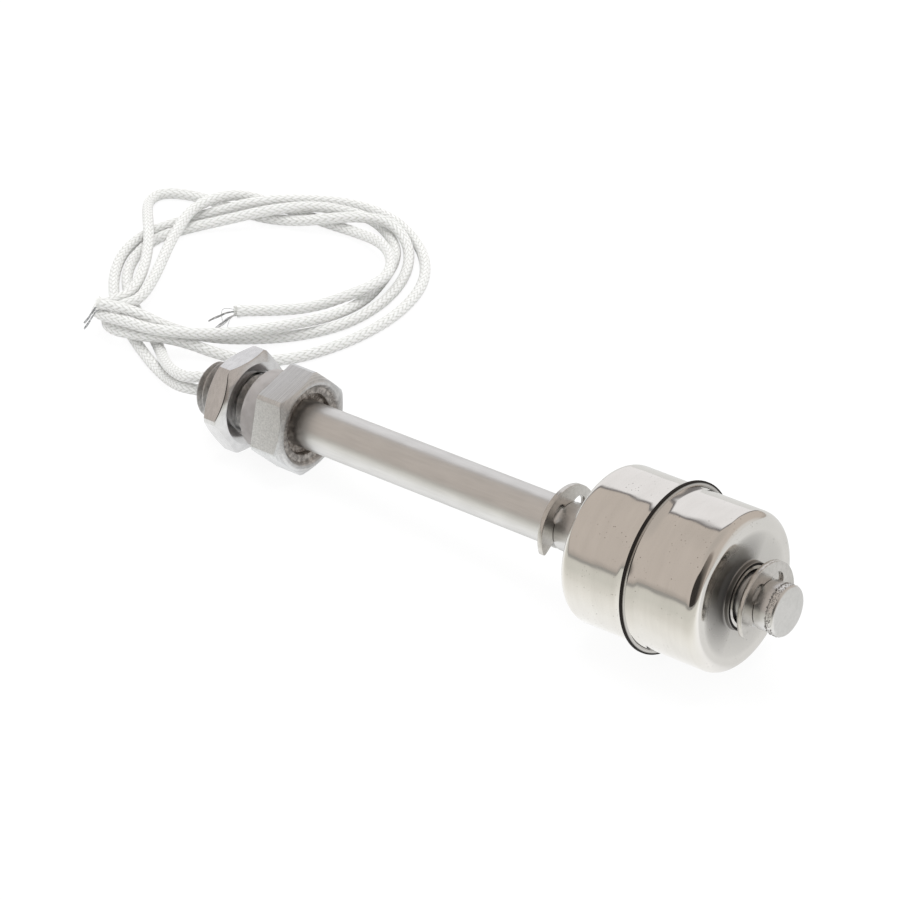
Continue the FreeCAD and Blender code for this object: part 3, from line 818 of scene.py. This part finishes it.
def weld_and_painted_shade_strength(place, end, outward):
    """How dark a point of a cup is coloured: weld oxide at its rim and the neck's end, painted shade in
    the crease at the bead's flank, a painted dark reflection on the neck, and a painted dark reflection of
    the clip round the neck.
    """
    reach = math.hypot(place.y, place.z)
    flat = end - outward * NECK_LENGTH
    if reach > BEAD_RADIUS - RIM_DEPTH - RIM_MARGIN:
        return WELDED_SEAM
    # Painted shade in the crease at the bead's flank
    if reach > FLOAT_RADIUS + BEAD_FOOT - FLANK_MARGIN:
        return FLANK_PAINTED_SHADE
    if abs(place.x - end) < RIM_MARGIN:
        return WELDED_SEAM
    # Painted dark reflection on the neck
    if outward * (place.x - flat) > NECK_MARGIN:
        return NECK_PAINTED_REFLECTION
    # Painted dark reflection of the clip, fading outwards and round to one side
    if reach < PAINTED_REFLECTION_RADIUS:
        angle = math.atan2(-place.y, place.z) - math.radians(PAINTED_REFLECTION_SIDE)
        side = max(math.cos(angle), 0) ** PAINTED_REFLECTION_SIDE_FADE
        share = (PAINTED_REFLECTION_RADIUS - reach) / PAINTED_REFLECTION_WIDTH
        return PAINTED_REFLECTION_STRENGTH * share ** PAINTED_REFLECTION_FADE * (PAINTED_REFLECTION_ALL_ROUND + (1 - PAINTED_REFLECTION_ALL_ROUND) * side)
    return 0.0


def float_shell(name, end, outward):
    """Drawn cup from the bead to its neck. Outward is +1 towards the tip and -1 towards the head."""
    flat = end - outward * NECK_LENGTH
    inner_flat = flat - outward * FLOAT_WALL
    inner = FLOAT_RADIUS - FLOAT_WALL
    lip = FLOAT_MIDDLE + outward * BEAD_WIDTH / 2
    outline = rounded([
        (FLOAT_MIDDLE, inner, 0),
        (FLOAT_MIDDLE, BEAD_RADIUS, BEAD_SEAM_EDGE),
        (lip, BEAD_RADIUS, BROKEN_EDGE),
        (lip, BEAD_RADIUS - RIM_DEPTH, 0),
        (lip, FLOAT_RADIUS + BEAD_FOOT, FILLET),
        (lip + outward * BEAD_FLARE, FLOAT_RADIUS, BEAD_FLARE_BEND),
        (flat, FLOAT_RADIUS, FLOAT_EDGE),
        # Rings that carry the fade of the painted dark reflection
        *[(flat, PAINTED_REFLECTION_RADIUS - PAINTED_REFLECTION_WIDTH / PAINTED_REFLECTION_RINGS * i, 0) for i in range(PAINTED_REFLECTION_RINGS)],
        (flat, NECK_RADIUS, FILLET),
        (end, NECK_RADIUS, WORN_EDGE),
        (end, FLOAT_TUBE_RADIUS, FINE_EDGE),
        (inner_flat, FLOAT_TUBE_RADIUS, 0),
        (inner_flat, inner, FLOAT_EDGE - FLOAT_WALL),
    ], FLOAT_ARC_STEPS)
    bm = bmesh.new()
    turned(bm, [(angle, outline) for angle in round_angles(FLOAT_POINTS)])
    weld_and_painted_shade = bm.verts.layers.float.new("weld_and_painted_shade")
    for vert in bm.verts:
        vert[weld_and_painted_shade] = weld_and_painted_shade_strength(vert.co, end, outward)
    return shaped(name, bm, POLISHED)


def softened(node, finish, width):
    """A solid's own shape with its edges broken by a small bevel."""
    bm = bmesh.new()
    bm.from_mesh(frame["nodes"][node].data)
    bmesh.ops.remove_doubles(bm, verts=bm.verts, dist=1e-7)
    bmesh.ops.dissolve_limit(bm, angle_limit=math.radians(1), verts=bm.verts, edges=bm.edges)
    mesh = bpy.data.meshes.new(node)
    bm.to_mesh(mesh)
    bm.free()
    mesh.materials.append(finish)
    piece = new_object(node + "_finished", mesh)
    bevel = piece.modifiers.new("broken_edges", "BEVEL")
    bevel.width = width * MM
    bevel.segments = 2
    bevel.limit_method = "ANGLE"
    bevel.angle_limit = math.radians(40)
    bevel.harden_normals = True
    return piece


# Geometry node trees

def new_tree(name, sizes):
    """A geometry tree with named inputs. A whole number makes a whole-number input."""
    tree = bpy.data.node_groups.new(name, "GeometryNodeTree")
    tree.interface.new_socket("Geometry", in_out="INPUT", socket_type="NodeSocketGeometry")
    for label, value in sizes.items():
        kind = "NodeSocketInt" if isinstance(value, int) else "NodeSocketFloat"
        tree.interface.new_socket(label, in_out="INPUT", socket_type=kind).default_value = value
    tree.interface.new_socket("Geometry", in_out="OUTPUT", socket_type="NodeSocketGeometry")
    source = tree.nodes.new("NodeGroupInput").outputs
    target = tree.nodes.new("NodeGroupOutput").inputs
    return tree, source, target


def close_tree(tree, geometry, finish, target):
    """Ends a tree with smooth shading, real geometry and its finish."""
    geometry = out_of("GeometryNodeSetShadeSmooth", {"Geometry": geometry})
    geometry = out_of("GeometryNodeRealizeInstances", {"Geometry": geometry})
    geometry = out_of("GeometryNodeSetMaterial", {"Geometry": geometry, "Material": finish})
    tree.links.new(geometry, target["Geometry"])
    return tree


def capture(geometry, label, value, kind="FLOAT"):
    node = add("GeometryNodeCaptureAttribute", {0: geometry})
    node.capture_items.new(kind, label)
    feed(node, {1: value})
    return node.outputs[0], node.outputs[1]


def store(geometry, label, value):
    return out_of("GeometryNodeStoreNamedAttribute", {"Geometry": geometry, "Name": label, "Value": value})


def along_route(tree, name):
    """A measure along the route: Factor, from 0 to 1, or Length, in metres."""
    return add("GeometryNodeSplineParameter", tree=tree).outputs[name]


def tube_along(route, points, radius):
    """A closed tube round a route, and how far round it each point lies, from 0 to 1."""
    ring = out_of("GeometryNodeCurvePrimitiveCircle", {"Resolution": points, "Radius": radius})
    ring, around = capture(ring, "around", along_route(route.id_data, "Factor"))
    inputs = {"Curve": route, "Profile Curve": ring, "Fill Caps": True}
    return out_of("GeometryNodeCurveToMesh", inputs), around


def braid_heights(rising, falling):
    """Height on a braid, and the place across the yarn on top.

    rising and falling count the yarns of both slants. Each yarn runs over two others, then under two.
    """
    def round_back(share):
        """Height of a round back over a share from 0 to 1."""
        off = minus(times(share, 2.0), 1.0)
        return minus(1.0, times(off, off))

    rising_part = calc("FLOORED_MODULO", rising, 1.0)
    falling_part = calc("FLOORED_MODULO", falling, 1.0)
    crossing = plus(calc("FLOOR", rising), calc("FLOOR", falling))
    crossing = calc("FLOORED_MODULO", crossing, 4.0)
    falling_on_top = calc("GREATER_THAN", crossing, 1.5)

    def yarn(part, other_part, first_crossing):
        """A yarn's height on its way over two others."""
        passed = plus(minus(crossing, first_crossing), other_part)
        crown = round_back(times(passed, 0.5))
        crown = calc("MULTIPLY_ADD", crown, 0.5, 0.5)
        return times(calc("SQRT", round_back(part)), crown)

    over_rising = yarn(rising_part, falling_part, 0.0)
    over_falling = yarn(falling_part, rising_part, 2.0)
    weave = blend_value(falling_on_top, over_rising, over_falling)
    return weave, blend_value(falling_on_top, rising_part, falling_part)


def braid_tree(finish):
    """A tube along a route, raised where a yarn of its braid lies on top, and flared at its end."""
    tree, source, target = new_tree("lead_braid", {
        "Lead Radius": LEAD_RADIUS * MM,
        "Carriers": float(BRAID_CARRIERS),
        "Lay Length": BRAID_CARRIERS * BRAID_STITCH_LENGTH * MM,
        "Relief": BRAID_RELIEF * MM,
        "Ring Points": BRAID_RING_POINTS,
        "Step": BRAID_STEP * MM,
        "Flare": BRAID_FLARE_A * MM,
        "Flare Length": BRAID_FLARE_LENGTH * MM,
    })
    inputs = {"Curve": source["Geometry"], "Length": source["Step"]}
    route = out_of("GeometryNodeResampleCurve", inputs, mode="LENGTH")
    route, along = capture(route, "along", along_route(tree, "Length"))
    route, whole = capture(route, "whole", out_of("GeometryNodeSplineLength", tree=tree))
    core = minus(source["Lead Radius"], source["Relief"])
    tube, around = tube_along(route, source["Ring Points"], core)
    lay = over(along, source["Lay Length"])
    rising = times(plus(around, lay), source["Carriers"])
    falling = times(minus(around, lay), source["Carriers"])
    weave, filament = braid_heights(rising, falling)
    short_of_end = over(minus(whole, along), source["Flare Length"])
    opened = larger(minus(1.0, short_of_end), 0.0)
    opened = times(opened, opened)
    raised = times(weave, source["Relief"])
    height = calc("MULTIPLY_ADD", opened, source["Flare"], raised)
    lift = scaled(out_of("GeometryNodeInputNormal", tree=tree), height)
    tube = out_of("GeometryNodeSetPosition", {"Geometry": tube, "Offset": lift})
    tube = store(tube, "weave", weave)
    tube = store(tube, "filament", filament)
    return close_tree(tree, tube, finish, target)


def strands_tree(name, finish):
    """Fine wires or hairs along a route, twisted together and spreading towards its end."""
    tree, source, target = new_tree(name, {
        "Strands": 14,
        "Strand Radius": 0.065 * MM,
        "Bundle Radius": 0.25 * MM,
        "Twist": 5.0,
        "Spread": 1.2,
        "Seed": 3,
    })
    route = out_of("GeometryNodeResampleCurve", {"Curve": source["Geometry"], "Count": STRAND_POINTS})
    route, share = capture(route, "share", along_route(tree, "Factor"))
    route, side = capture(route, "side", out_of("GeometryNodeInputNormal", tree=tree), "VECTOR")
    route, ahead = capture(route, "ahead", out_of("GeometryNodeInputTangent", tree=tree), "VECTOR")
    inputs = {"Geometry": route, "Amount": source["Strands"]}
    copies = add("GeometryNodeDuplicateElements", inputs, domain="SPLINE").outputs
    number = copies["Duplicate Index"]
    chance = add("FunctionNodeRandomValue", {"ID": number, "Seed": source["Seed"]}).outputs[1]
    angle = plus(times(source["Twist"], share), times(number, GOLDEN_TURN))
    filled = over(plus(number, 0.5), source["Strands"])
    radius = times(calc("SQRT", filled), source["Bundle Radius"])
    late = calc("POWER", share, 2.5)
    spread = times(times(late, chance), source["Spread"])
    radius = times(radius, plus(spread, 1.0))
    other_side = out_of("ShaderNodeVectorMath", {0: side, 1: ahead}, operation="CROSS_PRODUCT")
    one = scaled(side, times(radius, calc("COSINE", angle)))
    two = scaled(other_side, times(radius, calc("SINE", angle)))
    offset = out_of("ShaderNodeVectorMath", {0: one, 1: two}, operation="ADD")
    wires = out_of("GeometryNodeSetPosition", {"Geometry": copies["Geometry"], "Offset": offset})
    wires, _ = tube_along(wires, STRAND_SIDES, source["Strand Radius"])
    return close_tree(tree, wires, finish, target)


def weld_tree(finish):
    """Uneven specks in a band round the stem, in the stem's millimetres."""
    tree, source, target = new_tree("weld_band", {
        "Specks": WELD_SPECKS,
        "Band Radius": WELD_RADIUS,
        "Band Middle": WELD_MIDDLE,
        "Band Width": WELD_WIDTH,
        "Speck Radius": WELD_SPECK_RADIUS,
        "Seed": 7,
    })

    def chance(low, high, step):
        inputs = {"Min": low, "Max": high, "Seed": plus(source["Seed"], float(step))}
        return add("FunctionNodeRandomValue", inputs).outputs[1]

    turn = chance(0.0, 2 * math.pi, 1)
    off_middle = times(chance(-0.5, 0.5, 2), source["Band Width"])
    place = out_of("ShaderNodeCombineXYZ", {
        "X": plus(off_middle, source["Band Middle"]),
        "Y": times(calc("SINE", turn), source["Band Radius"]),
        "Z": times(calc("COSINE", turn), source["Band Radius"]),
    })
    size = out_of("ShaderNodeCombineXYZ", {
        "X": chance(0.3, 1.0, 3),
        "Y": chance(0.3, 1.2, 4),
        "Z": chance(0.3, 1.2, 5),
    })
    points = out_of("GeometryNodePoints", {"Count": source["Specks"], "Position": place})
    speck = out_of("GeometryNodeMeshIcoSphere", {"Radius": source["Speck Radius"], "Subdivisions": 1})
    specks = out_of("GeometryNodeInstanceOnPoints", {"Points": points, "Instance": speck, "Scale": size})
    return close_tree(tree, specks, finish, target)


def evaluated_mesh(holder):
    bpy.context.view_layer.update()
    evaluated = holder.evaluated_get(bpy.context.evaluated_depsgraph_get())
    return bpy.data.meshes.new_from_object(evaluated)


def grown(name, holder, tree, values):
    """A plain mesh piece from a tree on a holder object, which is then removed."""
    modifier = holder.modifiers.new(tree.name, "NODES")
    modifier.node_group = tree
    sockets = {item.name: item.identifier for item in tree.interface.items_tree if item.in_out == "INPUT"}
    for label, value in values.items():
        modifier[sockets[label]] = value
    mesh = evaluated_mesh(holder)
    mesh.name = name
    holder.modifiers.remove(modifier)
    bpy.data.objects.remove(holder)
    return new_object(name, mesh)


def weld_band():
    holder = new_object("weld_holder", bpy.data.meshes.new("weld_holder"))
    piece = grown("tip_weld_band", holder, weld_tree(WELD), {})
    piece.data.transform(STEM)
    return piece


# Leads

def floor_point(point):
    return Vector((MOUTH.x, MOUTH.y, 0)) + Vector(point) * MM


def spline_object(name, points):
    """One smooth line with the route's points as its control points."""
    curve = bpy.data.curves.new(name, "CURVE")
    curve.dimensions = "3D"
    curve.resolution_u = 16
    spline = curve.splines.new("NURBS")
    spline.points.add(len(points) - 1)
    for control, point in zip(spline.points, points):
        control.co = (*point, 1)
    spline.order_u = 3
    spline.use_endpoint_u = True
    return new_object(name, curve)


def line_of(holder):
    """Points along a spline with no bevel."""
    mesh = evaluated_mesh(holder)
    points = [vert.co.copy() for vert in mesh.vertices]
    bpy.data.meshes.remove(mesh)
    return points


def lead(name, rise, route, tree, flare):
    """A braided lead from inside the spigot's mouth, with the line that it follows."""
    mouth = -THREAD_LENGTH + LEAD_SETBACK
    start = STEM @ Vector((mouth, 0, rise))
    clear = STEM @ Vector((mouth - LEAD_EXIT_RUN, 0, rise))
    holder = spline_object(name + "_route", [start, clear] + [floor_point(point) for point in route])
    path = line_of(holder)
    return grown(name, holder, tree, {"Flare": flare * MM}), path


def bare_end(name, route, tree, values):
    holder = spline_object(name + "_route", [floor_point(point) for point in route])
    return grown(name, holder, tree, values)


# Camera, floor and light

def towards(azimuth, rise=0):
    """Direction from its azimuth from +X and its rise over the floor, in degrees."""
    turn = math.radians(azimuth)
    lift = math.radians(rise)
    return (math.cos(turn) * math.cos(lift), math.sin(turn) * math.cos(lift), math.sin(lift))


def make_camera():
    data = bpy.data.cameras.new("camera")
    data.sensor_width = 36.0
    data.lens = CAMERA_LENS
    data.clip_start = 0.01
    data.clip_end = 20.0
    camera = new_object("camera", data)
    turn = Vector(towards(CAMERA_AZIMUTH, CAMERA_RISE)).to_track_quat("Z", "Y")
    camera.matrix_world = Matrix.Translation(CAMERA_PLACE) @ turn.to_matrix().to_4x4()
    bpy.context.scene.camera = camera


def make_floor():
    """White to the camera with a faint shadow. In reflections it glows with painted light that fades
    towards the camera's side, with a painted shadow from under the object backwards.
    """
    reach = 4.0
    near, far = -0.3, 0.05
    glow_level = 0.90
    shade = (0.12, 0.12, 0.12, 1)
    matte_grey = (0.85, 0.85, 0.85, 1)
    mesh = bpy.data.meshes.new("floor")
    corners = [(-reach, -reach, 0), (reach, -reach, 0), (reach, reach, 0), (-reach, reach, 0)]
    mesh.from_pydata(corners, [], [(0, 1, 2, 3)])
    floor = new_object("floor", mesh)
    made = bpy.data.materials.new("white_floor")
    made.use_nodes = True
    tree = made.node_tree
    tree.nodes.clear()
    path = add("ShaderNodeLightPath", tree=tree).outputs
    reflected = path["Is Glossy Ray"]
    place = add("ShaderNodeTexCoord", tree=tree).outputs["Object"]
    depth = add("ShaderNodeSeparateXYZ", {0: place}).outputs["Y"]
    # Painted light for reflections: brightest just in front of the object, fading towards the camera's
    # side, with a painted shadow from under the object backwards
    painted_reflected_glow = ramp(between(depth, near, far, 0, 1), [
        (0.00, (0.22, 0.21, 0.19)),
        (0.12, (0.26, 0.25, 0.225)),
        (0.27, (0.49, 0.475, 0.425)),
        (0.45, (0.545, 0.53, 0.475)),
        (0.69, (0.56, 0.55, 0.495)),
        (0.757, (0.66, 0.645, 0.59)),
        (0.793, (0.82, 0.81, 0.765)),
        (0.814, (0.90, 0.90, 0.875)),
        (0.84, (0.95, 0.95, 0.945)),
        (0.85, (0.86, 0.86, 0.86)),
        (0.857, (0.72, 0.72, 0.71)),
        (0.90, (0.65, 0.65, 0.64)),
        (1.00, (0.62, 0.62, 0.61)),
    ])
    glow = out_of("ShaderNodeEmission", {
        "Color": blend_colour(reflected, (1.0, 1.0, 1.0), painted_reflected_glow),
        "Strength": between(reflected, 0, 1, glow_level, 1.0),
    })
    shaded = out_of("ShaderNodeBsdfDiffuse", {"Color": shade}, tree=tree)
    bright = out_of("ShaderNodeAddShader", {0: shaded, 1: glow})
    matte = out_of("ShaderNodeBsdfDiffuse", {"Color": matte_grey}, tree=tree)
    seen = larger(larger(path["Is Camera Ray"], reflected), path["Is Transmission Ray"])
    surface = out_of("ShaderNodeMixShader", {0: seen, 1: matte, 2: bright})
    add("ShaderNodeOutputMaterial", {"Surface": surface})
    mesh.materials.append(made)


def facing(direction, target):
    """Cosine of the angle between two directions."""
    return add("ShaderNodeVectorMath", {0: direction, 1: target}, operation="DOT_PRODUCT").outputs["Value"]


def with_glow(direction, room):
    """A low glow on the right."""
    azimuth = 40.0
    edge = (0.86, 0.96)
    glow = between(facing(direction, towards(azimuth)), *edge, 0, 1)
    return blend_colour(glow, room, (0.73, 0.715, 0.69))


def with_screen(direction, height, room):
    """A white screen with a dark frame, behind the object, wider towards its foot on the left."""
    azimuth = 130.0
    half_width = 0.335
    foot_half_width = half_width + 0.3
    screen_height = 1.35
    screen_edge = (0.86, 1.08)
    frame_edge = (1.22, 1.32)
    never_behind = 0.001
    ahead = larger(facing(direction, towards(azimuth)), never_behind)
    aside = over(facing(direction, towards(azimuth + 90)), ahead)
    above = over(over(height, ahead), screen_height)
    to_left = over(aside, between(above, 0, 1, foot_half_width, half_width))
    to_right = over(aside, -half_width)
    edge = larger(larger(to_left, to_right), above)
    room = blend_colour(between(edge, *frame_edge, 1, 0), room, (0.20, 0.19, 0.19))
    return blend_colour(between(edge, *screen_edge, 1, 0), room, (0.94, 0.93, 0.94))


def with_dark_patch(direction, room):
    """A dark patch on the camera's side, darker and narrower on its left."""
    azimuth = -60.0
    rise = 17.0
    inner_edge, outer_edge = 47.0, 54.0
    left_shade = 0.2
    left_narrowing = 1.7
    middle_band = (-0.1, 0.1)
    angle = calc("DEGREES", calc("ARCCOSINE", facing(direction, towards(azimuth, rise))))
    right = facing(direction, towards(azimuth + 90))
    lit_angle = times(angle, between(right, *middle_band, left_shade, 1))
    patch = ramp(between(lit_angle, 0, outer_edge, 0, 1), [
        (0.37, (0.04, 0.036, 0.032)),
        (0.68, (0.19, 0.167, 0.146)),
        (0.86, (0.28, 0.24, 0.21)),
    ])
    limit = times(angle, between(right, *middle_band, left_narrowing, 1))
    return blend_colour(between(limit, inner_edge, outer_edge, 1, 0), room, patch)


def make_world():
    """White to the camera, even on matte surfaces, and a room with warm walls in reflections."""
    world = bpy.data.worlds.new("studio")
    bpy.context.scene.world = world
    world.use_nodes = True
    tree = world.node_tree
    tree.nodes.clear()
    direction = add("ShaderNodeTexCoord", tree=tree).outputs["Generated"]
    height = add("ShaderNodeSeparateXYZ", {0: direction}).outputs["Z"]
    room = ramp(height, [
        (0.0, (0.45, 0.41, 0.375)),
        (0.11, (0.60, 0.54, 0.49)),
        (0.8, (0.60, 0.54, 0.49)),
        (1.0, (0.52, 0.475, 0.435)),
    ])
    room = with_glow(direction, room)
    room = with_screen(direction, height, room)
    room = with_dark_patch(direction, room)
    path = add("ShaderNodeLightPath", tree=tree).outputs
    matte_light = (0.93, 0.93, 0.93)
    colour = blend_colour(path["Is Glossy Ray"], matte_light, room)
    colour = blend_colour(path["Is Camera Ray"], colour, (1.0, 1.0, 1.0))
    background = out_of("ShaderNodeBackground", {"Color": colour, "Strength": 1.0})
    add("ShaderNodeOutputWorld", {"Surface": background})


def make_lamp():
    """A soft lamp overhead, aimed at the floor's middle, that metals don't show."""
    place = Vector((-0.1, 0.15, 0.9))
    data = bpy.data.lights.new("overhead_softbox", "AREA")
    data.shape = "DISK"
    data.size = 0.8
    data.energy = 4.0
    lamp = new_object("overhead_softbox", data)
    lamp.location = place
    lamp.rotation_euler = (-place).to_track_quat("-Z", "Y").to_euler()
    lamp.visible_glossy = False


# Put it together

def place_on(piece, body, slot, *nodes):
    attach(piece, body)
    if nodes:
        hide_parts(*nodes)


make_camera()
braid = braid_tree(BRAID)
strands = strands_tree("bare_strands", STRANDS)
hairs = strands_tree("sleeve_hairs", FRAY)
lead_a, lead_a_line = lead("lead_a_braid", LEAD_A_RISE, LEAD_A_ROUTE, braid, BRAID_FLARE_A)
lead_b, lead_b_line = lead("lead_b_braid", LEAD_B_RISE, LEAD_B_ROUTE, braid, BRAID_FLARE_B)
wires_a = bare_end("lead_a_bare_wires", WIRES_A_ROUTE, strands, {**TIGHT_WIRES, "Seed": 4})
side_wires_a = bare_end("lead_a_side_wires", SIDE_WIRES_A_ROUTE, strands, {**TIGHT_WIRES, "Seed": 6})
wires_b = bare_end("lead_b_bare_wires", WIRES_B_ROUTE, strands, {**TIGHT_WIRES, "Spread": 0.2, "Seed": 5})
spread_wires_b = bare_end(
    "lead_b_spread_wires", SPREAD_WIRES_B_ROUTE, strands, {**TIGHT_WIRES, "Spread": 5.0, "Seed": 9},
)
loose_wire_b = bare_end("lead_b_loose_wire", LOOSE_WIRE_B_ROUTE, strands, SINGLE_WIRE)
fallen_wire_b = bare_end("lead_b_fallen_wire", FALLEN_WIRE_B_ROUTE, strands, SINGLE_WIRE)
sleeve_a = bare_end(
    "lead_a_frayed_sleeve", SLEEVE_A_ROUTE, hairs, {**SLEEVE_HAIRS, "Spread": 0.8, "Seed": 11},
)
sleeve_b = bare_end("lead_b_frayed_sleeve", SLEEVE_B_ROUTE, hairs, {**SLEEVE_HAIRS, "Seed": 12})

place_on(lead_a, "root", "lead_braid", "lead_a", "lead_coil", "lead_a_tail")
place_on(lead_b, "root", "lead_braid", "lead_b", "lead_b_tail")
place_on(wires_a, "root", "tinned_copper", "lead_a_strands")
place_on(wires_b, "root", "tinned_copper", "lead_b_strands")
for piece in (side_wires_a, spread_wires_b, loose_wire_b, fallen_wire_b):
    place_on(piece, "root", "tinned_copper")
place_on(sleeve_a, "root", "lead_braid")
place_on(sleeve_b, "root", "lead_braid")

place_on(threaded_head(), "root", "cast_steel", "threaded_head")
place_on(sealing_washer(), "root", "silicone", "sealing_washer")
place_on(hex_nut(), "nut", "nut_steel", "hex_nut")
place_on(stem_tube(), "root", "polished_steel", "stem_tube")
place_on(stem_end_cap(), "root", "satin_steel", "stem_end_cap")
place_on(weld_band(), "root", "satin_steel")
place_on(float_shell("float_upper_cup", FLOAT_TOP, -1), "float", "polished_steel", "float_upper_shell")
place_on(float_shell("float_lower_cup", FLOAT_BOTTOM, 1), "float", "polished_steel", "float_lower_shell")
for clip in ("upper_retaining_clip", "lower_retaining_clip"):
    place_on(softened(clip, CLIP_STEEL, CLIP_EDGE), "root", "spring_steel", clip)

for node, finish in INNER_FINISHES.items():
    materials = frame["nodes"][node].data.materials
    materials.clear()
    materials.append(finish)

make_floor()
make_world()
make_lamp()

bpy.context.scene.view_settings.view_transform = "Standard"
